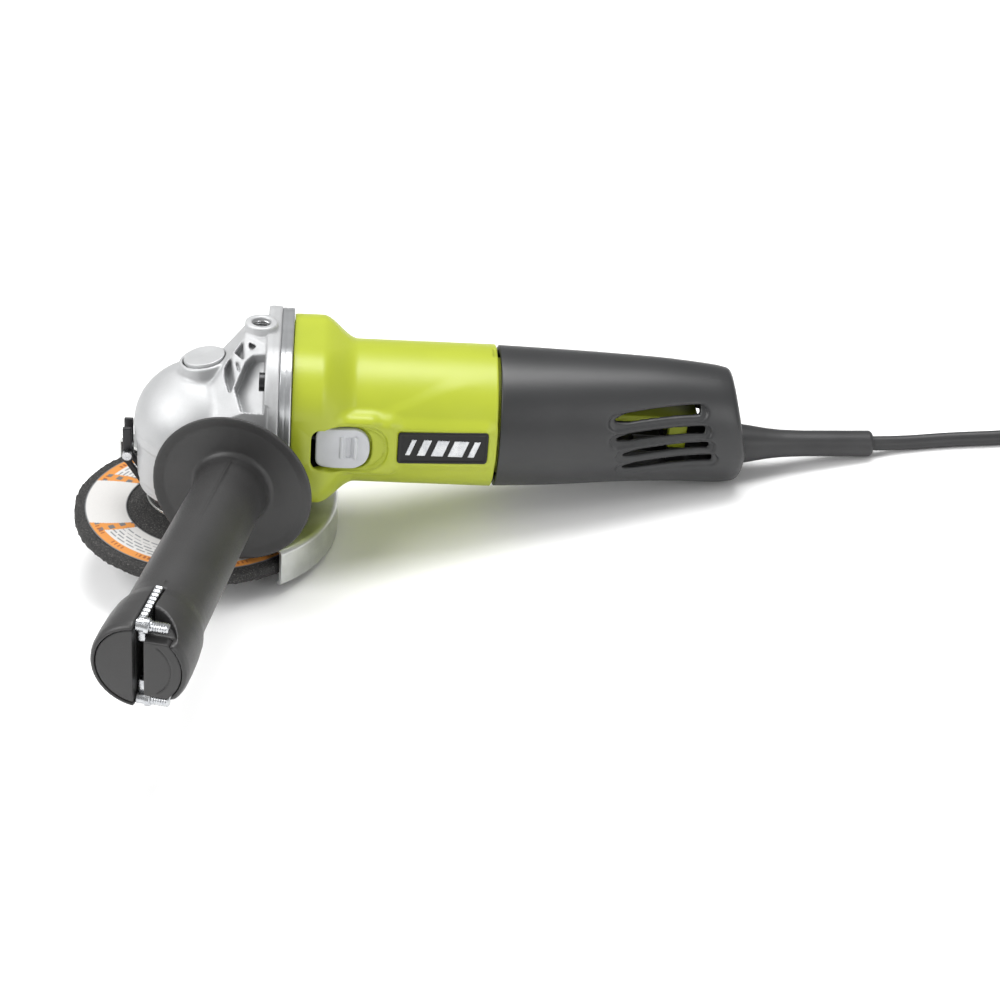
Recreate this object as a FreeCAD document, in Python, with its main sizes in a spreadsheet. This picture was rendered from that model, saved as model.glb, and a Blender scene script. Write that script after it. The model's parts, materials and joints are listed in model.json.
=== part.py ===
import FreeCAD, Part
import Sketcher
import math
import os
import re

# Corded angle grinder for a 4 1/2 inch wheel, millimetres.
# The sub-parts are laid out in the tool's own frame: the spindle is on Z, the motor shaft runs
# along +X towards the tail, and the side handle points to -Y. At the end everything is tilted
# so that the tool stands on its guard and its tail, with the floor at Z = 0.

SIZES = {
    # grinding wheel, type 27
    "wheel_radius": 57.15, "wheel_thickness": 5.5, "wheel_top": -52.7, "hub_rise": 4.5,
    "hub_inner": 22.5, "hub_outer": 33, "label_radius": 52.4, "label_thickness": 0.3,
    "ring_inner": 11.2, "ring_outer": 15,
    # spindle
    "thread_radius": 7.94, "shoulder_radius": 9.5, "seat_radius": 6, "gear_seat": 5,
    "journal_radius": 3.5, "spindle_end": -60.8, "spindle_tip": 14.2,
    # clamping flanges
    "flange_radius": 21, "pilot_radius": 11.1, "inner_flange_top": -45.2,
    "flange_step": -47.2, "flange_boss": 13.5,
    "nut_height": 5.6, "nut_hole_radius": 2.6, "nut_hole_circle": 16.7,
    # gears
    "gear_teeth": 37, "pinion_teeth": 11, "gear_module": 1.1, "face_width": 7.4,
    # lower bearing
    "ball_inner": 6.05, "ball_outer": 16, "ball_top": -22, "ball_bottom": -32,
    # gear case
    "dome_radius": 30, "dome_base": -34, "dome_waist": -9, "dome_rise": 27.5,
    "chamber_radius": 23.5, "chamber_rise": 17, "chamber_floor": -22,
    "case_half": 38.5, "case_corner": 45, "case_back": 28.5, "case_front": 33,
    "plate_half": 38, "plate_corner": 44.5, "plate_front": 38.5,
    "boss_radius": 8.5, "boss_top": 41.5, "boss_offset": 24.3, "thread_bore": 4.05, "thread_depth": 16,
    "tunnel_radius": 15,
    # spindle lock
    "button_radius": 8.9, "button_bottom": 20.6, "button_well": 16.3, "lock_pin_radius": 1.6,
    "lock_pin_offset": 7.2,
    # retainer and guard
    "retainer_radius": 28.2, "retainer_circle": 24.4, "neck_radius": 20.5, "neck_bottom": -44,
    "guard_radius": 60.5, "guard_wall": 1.5, "guard_top": -44.7, "guard_bottom": -62,
    "guard_lip": 58.75, "guard_ring": 25.5, "guard_start": -53, "guard_sweep": 186, "collar_outer": 22.4,
    "band_inner": 22.5, "band_outer": 24.6,
    # motor housing
    "housing_half": 36.5, "housing_corner": 42, "barrel_radius": 31.3, "barrel_start": 66,
    "barrel_end": 127, "barrel_bore": 28.7, "neck_outer": 25.4, "neck_bore": 23.4, "neck_end": 152,
    "spine_bottom": 6.8,
    "spine_start": 139.5, "spine_end": 216, "post_start": 204, "post_end": 212, "post_offset": 7.8,
    "post_foot": -7,
    # rear sleeve
    "sleeve_wall": 2.6,
    # switch
    "switch_front": 49, "switch_back": 73, "switch_low": -10.4, "switch_high": 8.9,
    "recess_low": -11.8, "recess_high": 10, "recess_back": 80.5,
    "badge_front": 84, "badge_back": 123, "badge_low": -6.9, "badge_high": 8.4,
    # side handle, measured along its own axis from the spindle line
    "handle_seat": 38.4, "handle_end": 178, "shield_radius": 34.7, "grip_root": 15.2,
    "grip_radius": 16.4, "bulge_radius": 19.3, "cap_radius": 16.9, "slot_half": 1.9,
    "stud_radius": 3.98, "spanner_half": 1.5, "spanner_pin": 2.3,
    # mains lead
    "cord_radius": 3.5, "relief_radius": 5.8, "relief_root": 8.9,
}
SLEEVE = (  # x, half width, top, bottom, lean in degrees
    (127.4, 31.1, 31.1, -31.1, 0),
    (155, 28.8, 30.9, -29.9, 0),
    (182, 26.4, 30.4, -27.6, 0),
    (209, 23.6, 29.4, -26.6, 0),
    (228, 22, 26.6, -26.8, 5),
    (234.6, 19.4, 22.4, -23.1, 8),
    (237.4, 15, 17, -18, 8),
)
HANDLE_SLANT = 12.5            # degrees towards the front
HANDLE_HEIGHT = -16.3
COIL_TURN = 40.5                 # radius at the middle of the coil's turns
doc = FreeCAD.newDocument("angle_grinder")
sheet = doc.addObject("Spreadsheet::Sheet", "Sizes")
for row, (name, number) in enumerate(SIZES.items(), 1):
    sheet.set(f"A{row}", name)
    sheet.set(f"B{row}", str(number))
    sheet.setAlias(f"B{row}", name)
doc.recompute()

Vector = FreeCAD.Vector
Placement = FreeCAD.Placement
Rotation = FreeCAD.Rotation
WORD = re.compile(r"[a-z][a-z_]+")
UPRIGHT = Placement()
MOTOR = Placement(Vector(), Rotation(Vector(0, 1, 0), 90))
slant = math.radians(HANDLE_SLANT)
HANDLE_AXIS = Vector(-math.sin(slant), -math.cos(slant), 0)
HANDLE = Placement(Vector(SIZES["boss_offset"], 0, HANDLE_HEIGHT),
                   Rotation(Vector(0, 0, 1).cross(HANDLE_AXIS), Vector(0, 0, 1), HANDLE_AXIS, "ZXY"))
FAR_HANDLE = Placement(HANDLE.Base, Rotation(Vector(0, 0, 1), Vector(HANDLE_AXIS.x, -HANDLE_AXIS.y, 0)))
subparts = {}


def sized(text):
    """Turn the names of sizes in an expression into cells of the sheet."""
    return WORD.sub(lambda found: ("Sizes." if found.group(0) in SIZES else "") + found.group(0),
                    str(text))


def measure(text):
    return float(sheet.evalExpression(sized(text)))


def register(label, shape_object, frame=UPRIGHT, cord=False):
    """Name a finished sub-part and note the frame that it is built in."""
    shape_object.Label = label
    subparts[label] = (shape_object, frame, cord)
    return shape_object


# Sketches and primitives

def draw(sketch, points):
    """Draw a closed outline whose corners are bound to expressions."""
    places = [Vector(measure(across), measure(along), 0) for across, along in points]
    count = len(places)
    for index, place in enumerate(places):
        sketch.addGeometry(Part.LineSegment(place, places[(index + 1) % count]))
    for index in range(count):
        sketch.addConstraint(Sketcher.Constraint("Coincident", index, 2, (index + 1) % count, 1))
    for index, pair in enumerate(points):
        for kind, text in zip(("DistanceX", "DistanceY"), pair):
            number = sketch.addConstraint(Sketcher.Constraint(kind, -1, 1, index, 1, measure(text)))
            sketch.setExpression(f"Constraints[{number}]", sized(text))


def sketch_on(body, role, name, points):
    sketch = body.newObject("Sketcher::SketchObject", name)
    plane = [feature for feature in body.Origin.OriginFeatures if feature.Role == role][0]
    sketch.AttachmentSupport = [(plane, "")]
    sketch.MapMode = "FlatFace"
    draw(sketch, points)
    return sketch


def turned(name, points, angle=360):
    """A body turned about its local Z from (radius, height) points."""
    body = doc.addObject("PartDesign::Body", name)
    sketch = sketch_on(body, "XZ_Plane", name + "_profile", points)
    turn = body.newObject("PartDesign::Revolution", name + "_turn")
    turn.Profile = sketch
    turn.ReferenceAxis = (sketch, ["V_Axis"])
    turn.Angle = angle
    return body


def primitive(kind, name, at=None, turn=None, **sizes):
    """A Part primitive whose sizes and place are bound to expressions."""
    shape_object = doc.addObject("Part::" + kind, name)
    for key, text in sizes.items():
        shape_object.setExpression(key, sized(text))
    if turn:
        shape_object.Placement = Placement(Vector(), turn)
    for axis, text in zip("xyz", at or ()):
        shape_object.setExpression("Placement.Base." + axis, sized(text))
    return shape_object


def box(name, low, high):
    """A box from its lowest to its highest corner."""
    spans = [f"({top}) - ({bottom})" for bottom, top in zip(low, high)]
    return primitive("Box", name, low, Length=spans[0], Width=spans[1], Height=spans[2])


def rod(name, radius, start, end, at=("0", "0"), turn=None):
    """A cylinder along its local Z between two heights."""
    return primitive("Cylinder", name, (at[0], at[1], start), turn,
                     Radius=radius, Height=f"({end}) - ({start})")


def placed(shape_object, frame):
    """A piece carried as a whole into another frame."""
    carried = doc.addObject("Part::Compound", shape_object.Name + "_placed")
    carried.Links = [shape_object]
    carried.Placement = frame
    return carried


def fuse(name, pieces):
    joined = doc.addObject("Part::MultiFuse", name)
    joined.Shapes = pieces
    return joined


def cut(name, base, tools):
    result = doc.addObject("Part::Cut", name)
    result.Base = base
    result.Tool = tools[0] if len(tools) == 1 else fuse(name + "_tools", tools)
    return result


def common(name, pieces):
    result = doc.addObject("Part::MultiCommon", name)
    result.Shapes = pieces
    return result


def group(name, pieces):
    """Identical pieces that share one node."""
    result = doc.addObject("Part::Compound", name)
    result.Links = pieces
    return result


def along_x(name, radius, start, end, at=("0", "0")):
    """A cylinder along the motor's axis, at (y, z)."""
    return primitive("Cylinder", name, (start, at[0], at[1]), Rotation(Vector(0, 1, 0), 90),
                     Radius=radius, Height=f"({end}) - ({start})")


def along_y(name, radius, start, end, at=("0", "0")):
    """A cylinder across the tool, at (x, z)."""
    return primitive("Cylinder", name, (at[0], start, at[1]), Rotation(Vector(1, 0, 0), -90),
                     Radius=radius, Height=f"({end}) - ({start})")


def rounded_square(name, half, corner, start, end):
    """A square plate across the motor axis with its corners turned off."""
    square = box(name + "_square", (start, f"-{half}", f"-{half}"), (end, half, half))
    return common(name, [square, along_x(name + "_round", corner, start, end)])


def around(count, first=45):
    """Angles of equally spaced fixings, in radians."""
    return [math.radians(first + 360 / count * index) for index in range(count)]


def feature(name, shape):
    """A sub-part whose shape is worked out in code."""
    result = doc.addObject("Part::Feature", name)
    result.Shape = shape
    return result


# Gear case and its plate

SCREW_CIRCLE = 37.5            # radius of the four long case screws


def case_screw_places():
    return [(SCREW_CIRCLE * math.cos(angle), SCREW_CIRCLE * math.sin(angle)) for angle in around(4)]


def case_blend():
    """The cast body between the dome and the square flange."""
    sections = []
    for index, (x, half, low, high, bevel) in enumerate(((2, 25, -34, 9, 6), (28.6, 34, -34, 34, 14))):
        corners = [(-half + bevel, low), (half - bevel, low), (half, low + bevel), (half, high - bevel),
                   (half - bevel, high), (-half + bevel, high), (-half, high - bevel),
                   (-half, low + bevel)]
        section = doc.addObject("Sketcher::SketchObject", f"case_section_{index}")
        draw(section, corners)
        section.Placement = Placement(Vector(x, 0, 0), Rotation(Vector(0, 1, 0), Vector(0, 0, 1),
                                                                Vector(1, 0, 0), "ZXY"))
        sections.append(section)
    blend = doc.addObject("Part::Loft", "case_blend")
    blend.Sections = sections
    blend.Solid = True
    blend.Ruled = True
    return blend


def make_gear_case():
    dome_top = primitive("Ellipsoid", "dome_top", ("0", "0", "dome_waist"), Radius1="dome_rise",
                         Radius2="dome_radius", Radius3="dome_radius", Angle1="0")
    outside = [rod("dome_wall", "dome_radius", "dome_base", "dome_waist"), dome_top, case_blend(),
               rounded_square("case_flange", "case_half", "case_corner", "case_back", "case_front"),
               rod("lock_boss", "button_radius + 1.9", "8", "22.2"),
               rod("top_boss", "boss_radius", "20", "boss_top", ("boss_offset", "0")),
               box("top_web", ("boss_offset - 6", "-5", "8"), ("case_back + 1", "5", "boss_top - 5"))]
    for label, frame in (("near", HANDLE), ("far", FAR_HANDLE)):
        outside.append(placed(rod(f"{label}_boss", "11", "17", "38"), frame))
    chamber_top = primitive("Ellipsoid", "chamber_top", ("0", "0", "dome_waist"), Radius1="chamber_rise",
                            Radius2="chamber_radius", Radius3="chamber_radius", Angle1="0")
    inside = [rod("chamber", "chamber_radius", "chamber_floor", "dome_waist"), chamber_top,
              rod("bearing_seat", "ball_outer", "dome_base - 1", "chamber_floor + 1"),
              along_x("tunnel", "tunnel_radius", "0", "case_front + 1"),
              rod("bush_seat", "5", "0", "14.5"),
              rod("button_bore", "button_radius + 0.2", "button_well", "40"),
              rod("lock_pin_bore", "lock_pin_radius + 0.1", "0", "button_well + 1",
                  ("-lock_pin_offset", "0")),
              rod("top_thread", "thread_bore", "boss_top - thread_depth", "boss_top + 1",
                  ("boss_offset", "0"))]
    for label, frame in (("near", HANDLE), ("far", FAR_HANDLE)):
        inside.append(placed(rod(f"{label}_thread", "thread_bore", "38 - thread_depth", "40"), frame))
    inside += [along_x(f"case_hole_{index}", "2.2", "case_back - 1", "case_front + 1", (str(y), str(z)))
               for index, (y, z) in enumerate(case_screw_places())]
    inside += [along_x(f"case_counterbore_{index}", "4.6", "case_back - 14", "case_back",
                       (str(y), str(z)))
               for index, (y, z) in enumerate(case_screw_places())]
    register("gear_case", cut("case_cut", fuse("case_outside", outside), inside))


def make_case_plate():
    plate = rounded_square("plate_blank", "plate_half", "plate_corner", "case_front", "plate_front")
    holes = [along_x("plate_bore", "11", "case_front - 1", "plate_front + 1")]
    holes += [along_x(f"plate_hole_{index}", "2.2", "case_front - 1", "plate_front + 1", (str(y), str(z)))
              for index, (y, z) in enumerate(case_screw_places())]
    register("bearing_plate", cut("plate_cut", plate, holes))


def make_case_screws():
    """Four long screws: head in front of the case flange, shank back into the housing."""
    screws = []
    for index, (y, z) in enumerate(case_screw_places()):
        head = along_x(f"screw_head_{index}", "4", "case_back - 4", "case_back", (str(y), str(z)))
        shank = along_x(f"screw_shank_{index}", "2.1", "case_back", "plate_front + 12", (str(y), str(z)))
        screws.append(fuse(f"case_screw_{index}", [head, shank]))
    register("gear_case_screws", group("gear_case_screws_group", screws))


def make_retainer():
    points = [("shoulder_radius + 0.3", "neck_bottom"), ("neck_radius", "neck_bottom"),
              ("neck_radius", "dome_base - 4"), ("retainer_radius", "dome_base - 4"),
              ("retainer_radius", "dome_base"), ("ball_outer - 0.1", "dome_base"),
              ("ball_outer - 0.1", "ball_bottom"), ("shoulder_radius + 0.3", "ball_bottom")]
    holes = [rod(f"retainer_hole_{index}", "2", "dome_base - 5", "dome_base + 1",
                 (str(SIZES["retainer_circle"] * math.cos(angle)),
                  str(SIZES["retainer_circle"] * math.sin(angle))))
             for index, angle in enumerate(around(4))]
    register("bearing_retainer", cut("retainer_cut", turned("retainer_blank", points), holes))
    screws = []
    for index, angle in enumerate(around(4)):
        place = (str(SIZES["retainer_circle"] * math.cos(angle)),
                 str(SIZES["retainer_circle"] * math.sin(angle)))
        head = rod(f"retainer_head_{index}", "3.2", "dome_base - 6", "dome_base - 4", place)
        shank = rod(f"retainer_shank_{index}", "1.95", "dome_base - 4", "dome_base", place)
        screws.append(fuse(f"retainer_screw_{index}", [head, shank]))
    register("retainer_screws", group("retainer_screws_group", screws))


# Spindle lock

def make_spindle_lock():
    crown = turned("button_blank", [("0", "button_bottom"), ("button_radius", "button_bottom"),
                                    ("button_radius", "26"), ("0", "26")])
    slope = placed(primitive("Box", "button_slope", Length="40", Width="40", Height="20"),
                   Placement(Vector(-20, -20, 20.2), Rotation(Vector(0, 1, 0), -10.5)))
    register("spindle_lock_button", cut("button_cut", crown, [slope]))
    register("spindle_lock_pin", turned("lock_pin_body", [
        ("0", "-5.4"), ("lock_pin_radius", "-5.4"), ("lock_pin_radius", "button_bottom"),
        ("0", "button_bottom")]),
             Placement(Vector(-SIZES["lock_pin_offset"], 0, 0), Rotation()))
    spring_wire = 0.35
    spring_radius = 4.2
    helix = Part.makeHelix(0.95, 2.9, spring_radius)
    start = Part.Wire([Part.makeCircle(spring_wire, Vector(spring_radius, 0, 0), Vector(0, 1, 0))])
    spring = Part.Wire(helix.Edges).makePipeShell([start], True, True)
    spring.translate(Vector(1.2, 0, SIZES["button_well"] + 0.45))
    register("spindle_lock_spring", feature("lock_spring", Part.makeCompound([spring])))


# Spindle, gears and wheel

def make_spindle():
    points = [("0", "spindle_end"), ("thread_radius - 1", "spindle_end"),
              ("thread_radius", "spindle_end + 1"),
              ("thread_radius", "inner_flange_top"), ("shoulder_radius", "inner_flange_top"),
              ("shoulder_radius", "ball_bottom - 0.4"), ("7.6", "ball_bottom - 0.4"),
              ("7.6", "ball_bottom"),
              ("seat_radius", "ball_bottom"), ("seat_radius", "-19.5"), ("gear_seat", "-19.5"),
              ("gear_seat", "5"), ("journal_radius", "6"), ("journal_radius", "spindle_tip"),
              ("0", "spindle_tip")]
    register("spindle", turned("spindle_body", points))
    register("spindle_bearing", turned("spindle_bearing_ring", [
        ("ball_inner", "ball_bottom"), ("ball_outer", "ball_bottom"), ("ball_outer", "ball_top"),
        ("ball_inner", "ball_top")]))
    register("spindle_top_bush", turned("top_bush_ring", [
        ("journal_radius + 0.05", "8"), ("5", "8"), ("5", "14.5"), ("journal_radius + 0.05", "14.5")]))


def tooth(width_out, width_in, height, depth, reach, pitch_angle):
    """One straight bevel tooth: its outer section scaled towards the cone's apex."""
    outer = SIZES["gear_module"] * reach
    faces = []
    for scale in (1.0, 1.0 - SIZES["face_width"] / outer):
        radial = Vector(math.sin(pitch_angle), 0, math.cos(pitch_angle)) * outer * scale
        normal = Vector(math.cos(pitch_angle), 0, -math.sin(pitch_angle)) * scale
        side = Vector(0, scale, 0)
        corners = [radial - normal * depth - side * width_in, radial - normal * depth + side * width_in,
                   radial + normal * height + side * width_out,
                   radial + normal * height - side * width_out]
        faces.append(Part.makePolygon(corners + corners[:1]))
    return Part.makeLoft(faces, True, True)


def bevel(teeth, mate, blank_points, phase):
    """A bevel gear about +Z with its apex at the origin and its teeth on +Z's side of the cone."""
    module = SIZES["gear_module"]
    reach = math.hypot(teeth, mate) / 2
    pitch_angle = math.atan2(teeth, mate)
    single = tooth(0.42 * module, 0.86 * module, 0.85 * module, 1.25 * module, reach, pitch_angle)
    solid = Part.Face(Part.makePolygon(blank_points + blank_points[:1])).revolve(
        Vector(), Vector(0, 0, 1), 360)
    ring = []
    for index in range(teeth):
        copy = single.copy()
        copy.rotate(Vector(), Vector(0, 0, 1), 360 / teeth * (index + phase))
        ring.append(copy)
    return solid.fuse(ring).removeSplitter()


def cone_point(along, above, pitch_angle):
    """A point in the XZ plane at a distance along the pitch line and a height above it."""
    return Vector(along * math.sin(pitch_angle) + above * math.cos(pitch_angle), 0,
                  along * math.cos(pitch_angle) - above * math.sin(pitch_angle))


def make_gears():
    module = SIZES["gear_module"]
    gear_count, pinion_count = int(SIZES["gear_teeth"]), int(SIZES["pinion_teeth"])
    outer = module * math.hypot(gear_count, pinion_count) / 2
    inner = outer - SIZES["face_width"]
    root = 1.2 * module
    gear_angle = math.atan2(gear_count, pinion_count)
    top_in = cone_point(inner, -root * inner / outer, gear_angle)
    top_out = cone_point(outer, -root, gear_angle)
    gear_points = [Vector(SIZES["gear_seat"], 0, 17), Vector(SIZES["gear_seat"], 0, 7),
                   Vector(10.5, 0, 7), Vector(top_in.x, 0, top_in.z), Vector(top_out.x, 0, top_out.z),
                   Vector(top_out.x - 1.5, 0, 13), Vector(11, 0, 14), Vector(11, 0, 17)]
    gear = bevel(gear_count, pinion_count, gear_points, 0.5)
    gear.rotate(Vector(), Vector(1, 0, 0), 180)
    for angle in (0, 90, 180, 270):
        place = Rotation(Vector(0, 0, 1), angle).multVec(Vector(SIZES["lock_pin_offset"], 0, -11))
        gear = gear.cut(Part.makeCylinder(1.9, 5, place))
    register("bevel_gear", feature("gear_whole", gear))
    pinion_angle = math.atan2(pinion_count, gear_count)
    low_in = cone_point(inner, -root * inner / outer, pinion_angle)
    low_out = cone_point(outer, -root, pinion_angle)
    bore = 2.45
    pinion_points = [Vector(bore, 0, low_in.z), Vector(low_in.x, 0, low_in.z),
                     Vector(low_out.x, 0, low_out.z), Vector(5.2, 0, 22.4), Vector(5.2, 0, 26),
                     Vector(bore, 0, 26)]
    pinion = bevel(pinion_count, gear_count, pinion_points, 0)
    register("bevel_pinion", feature("pinion_whole", pinion), MOTOR)


def make_wheel():
    low = "wheel_top - wheel_thickness"
    wheel = [("ring_outer", "wheel_top + hub_rise - wheel_thickness"),
             ("hub_inner", "wheel_top + hub_rise - wheel_thickness"),
             ("hub_outer", low), ("wheel_radius - 0.6", low), ("wheel_radius", low + " + 0.6"),
             ("wheel_radius", "wheel_top - 0.6"), ("wheel_radius - 0.6", "wheel_top"),
             ("hub_outer", "wheel_top"), ("hub_inner", "wheel_top + hub_rise"),
             ("ring_outer", "wheel_top + hub_rise")]
    register("grinding_wheel", turned("wheel_body", wheel))
    register("wheel_arbor_ring", turned("arbor_ring_body", [
        ("ring_inner", "wheel_top + hub_rise - wheel_thickness"),
        ("ring_outer", "wheel_top + hub_rise - wheel_thickness"),
        ("ring_outer", "wheel_top + hub_rise"), ("ring_inner", "wheel_top + hub_rise")]))
    register("wheel_label", turned("label_body", [
        ("hub_outer + 0.4", "wheel_top"), ("label_radius", "wheel_top"),
        ("label_radius", "wheel_top + label_thickness"),
        ("hub_outer + 0.4", "wheel_top + label_thickness")]))
    register("inner_flange", turned("inner_flange_body", [
        ("thread_radius + 0.05", "wheel_top + hub_rise - 3.4"),
        ("pilot_radius", "wheel_top + hub_rise - 3.4"),
        ("pilot_radius", "wheel_top + hub_rise"), ("flange_radius", "wheel_top + hub_rise"),
        ("flange_radius", "flange_step - 0.6"), ("flange_radius - 0.6", "flange_step"),
        ("flange_boss", "flange_step"), ("flange_boss - 1", "inner_flange_top"),
        ("thread_radius + 0.05", "inner_flange_top")]))
    nut_top = "wheel_top + hub_rise - wheel_thickness"
    blank = turned("lock_nut_blank", [
        ("thread_radius + 0.05", nut_top + " - nut_height"),
        ("flange_radius - 1.6", nut_top + " - nut_height"),
        ("flange_radius", nut_top + " - nut_height + 1.6"), ("flange_radius", nut_top),
        ("thread_radius + 0.05", nut_top)])
    holes = [rod(f"nut_hole_{index}", "nut_hole_radius", nut_top + " - nut_height - 1",
                 nut_top + " - 1.4",
                 (f"{side} * nut_hole_circle", "0")) for index, side in enumerate((1, -1))]
    register("lock_nut", cut("lock_nut_cut", blank, holes))


# Guard

def make_guard():
    start, sweep = SIZES["guard_start"], SIZES["guard_sweep"]
    skirt = turned("guard_skirt", [
        ("guard_radius - guard_wall", "guard_bottom + 1.4"), ("guard_lip", "guard_bottom + 1.4"),
        ("guard_lip", "guard_bottom"), ("guard_radius", "guard_bottom"), ("guard_radius", "guard_top"),
        ("guard_radius - guard_wall", "guard_top")], sweep)
    half = turned("guard_half_plate", [
        ("collar_outer - 0.5", "guard_top - guard_wall"),
        ("guard_radius - guard_wall", "guard_top - guard_wall"),
        ("guard_radius - guard_wall", "guard_top"), ("collar_outer - 0.5", "guard_top")], sweep)
    for body in (skirt, half):
        body.Placement = Placement(Vector(), Rotation(Vector(0, 0, 1), start))
    plate = turned("guard_plate", [
        ("flange_radius + 0.6", "guard_top - guard_wall"), ("guard_ring", "guard_top - guard_wall"),
        ("guard_ring", "guard_top"), ("flange_radius + 0.6", "guard_top")])
    collar = turned("guard_collar", [("neck_radius + 0.3", "guard_top"), ("collar_outer", "guard_top"),
                                     ("collar_outer", "dome_base - 6.4"),
                                     ("neck_radius + 0.3", "dome_base - 6.4")])
    register("wheel_guard", fuse("guard_whole", [half, plate, collar]))
    register("wheel_guard_skirt", group("guard_skirt_turned", [skirt]))


def make_guard_clamp():
    band = turned("clamp_ring", [("band_inner", "guard_top + 0.5"), ("band_outer", "guard_top + 0.5"),
                                 ("band_outer", "dome_base - 6.6"), ("band_inner", "dome_base - 6.6")])
    gap = box("clamp_gap", ("-40", "-3", "guard_top"), ("-15", "3", "dome_base"))
    pieces = [cut("clamp_open_ring", band, [gap])]
    for index, (low, high) in enumerate(((3.2, 5.2), (-5.2, -3.2))):
        pieces.append(box(f"clamp_foot_{index}", ("-35", str(low), "guard_top + 0.5"),
                          ("-23", str(high), "dome_base - 6.6")))
        pieces.append(box(f"clamp_ear_{index}", ("-35", str(low), "guard_top + 0.5"),
                          ("-30.8", str(high), "-11")))
    hole = along_y("clamp_hole", "1.7", "-8", "8", ("-32.9", "-24"))
    register("guard_clamp_band", cut("clamp_cut", fuse("clamp_whole", pieces), [hole]))
    head = along_y("clamp_screw_head", "2.05", "-7.6", "-5.2", ("-32.9", "-24"))
    shank = along_y("clamp_screw_shank", "1.6", "-5.2", "9", ("-32.9", "-24"))
    register("guard_clamp_screw", fuse("clamp_screw_whole", [head, shank]))
    nut = along_y("clamp_nut_blank", "2.05", "5.2", "7.8", ("-32.9", "-24"))
    bore = along_y("clamp_nut_bore", "1.62", "5", "8", ("-32.9", "-24"))
    register("guard_clamp_nut", cut("clamp_nut_cut", nut, [bore]))


# Motor

def clamp_screw_place(side):
    """Where a screw of the cord clamp stands, at (x, y)."""
    return "(post_start + post_end) / 2", f"{side} * post_offset"


def make_housing():
    flange = rounded_square("housing_flange", "housing_half", "housing_corner", "plate_front", "52")
    shoulder = placed(turned("housing_shoulder", [
        ("0", "plate_front + 2"), ("38.5", "plate_front + 2"), ("38.5", "51"), ("37", "55"),
        ("33.4", "60.5"),
        ("barrel_radius", "barrel_start"), ("barrel_radius", "barrel_end"), ("0", "barrel_end")]), MOTOR)
    pads = [box("switch_pad", ("50", "-32.6", "-15"), ("83", "-20", "12.6")),
            box("badge_pad", ("82", "-31.6", "-9.4"), ("126", "-20", "10.6"))]
    neck = along_x("housing_neck", "neck_outer", "barrel_end - 1", "neck_end")
    whole = fuse("housing_outside", [flange, shoulder, neck] + pads)
    hollow = placed(turned("housing_hollow", [
        ("0", "plate_front - 1"), ("34", "plate_front - 1"), ("34", "50"), ("barrel_bore", "60"),
        ("barrel_bore", "barrel_end - 4"), ("neck_bore", "barrel_end - 4"), ("neck_bore", "neck_end + 1"),
        ("0", "neck_end + 1")]), MOTOR)
    web = cut("housing_web", along_x("web_disc", "neck_bore + 0.5", "130", "138"),
              [along_x("web_bore", "12.3", "129", "139"),
               box("web_slot", ("129", "-24", "-7"), ("139", "-14", "1"))])
    inside = [hollow, box("switch_recess", ("47", "-45", "recess_low"),
                          ("recess_back", "-30", "recess_high")),
              box("switch_pocket", ("43.4", "-33.9", "recess_low"), ("48", "-30", "recess_high")),
              box("link_slot", ("46.5", "-31", "-6.6"), ("72", "-27", "0.6")),
              box("link_channel", ("49", "-29.7", "-6.6"), ("barrel_end - 4", "-27.5", "0.6"))]
    inside += [along_x(f"housing_hole_{index}", "2.15", "plate_front - 1", "plate_front + 12.5",
                       (str(y), str(z)))
               for index, (y, z) in enumerate(case_screw_places())]
    shell = cut("housing_cut", whole, inside)
    bosses = [along_x(f"housing_boss_{index}", "4.2", "plate_front", "plate_front + 13", (str(y), str(z)))
              for index, (y, z) in enumerate(case_screw_places())]
    bored = [cut(f"housing_bored_{index}", boss,
                 [along_x(f"boss_bore_{index}", "2.15", "plate_front - 1", "plate_front + 12.5",
                          (str(y), str(z)))])
             for index, (boss, (y, z)) in enumerate(zip(bosses, case_screw_places()))]
    spine = box("housing_spine", ("spine_start", "-13", "spine_bottom"),
                ("spine_end", "13", "spine_bottom + 3"))
    posts = [cut(f"clamp_post_{index}",
                 box(f"clamp_post_blank_{index}",
                     ("post_start", f"{side} * post_offset - 2.6", "post_foot"),
                     ("post_end", f"{side} * post_offset + 2.6", "spine_bottom + 1")),
                 [rod(f"clamp_post_bore_{index}", "1.35", "post_foot - 1", "post_foot + 2.6",
                      clamp_screw_place(side))])
             for index, side in enumerate((-1, 1))]
    register("motor_housing", fuse("housing_whole", [shell, web, spine] + posts + bored))


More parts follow.
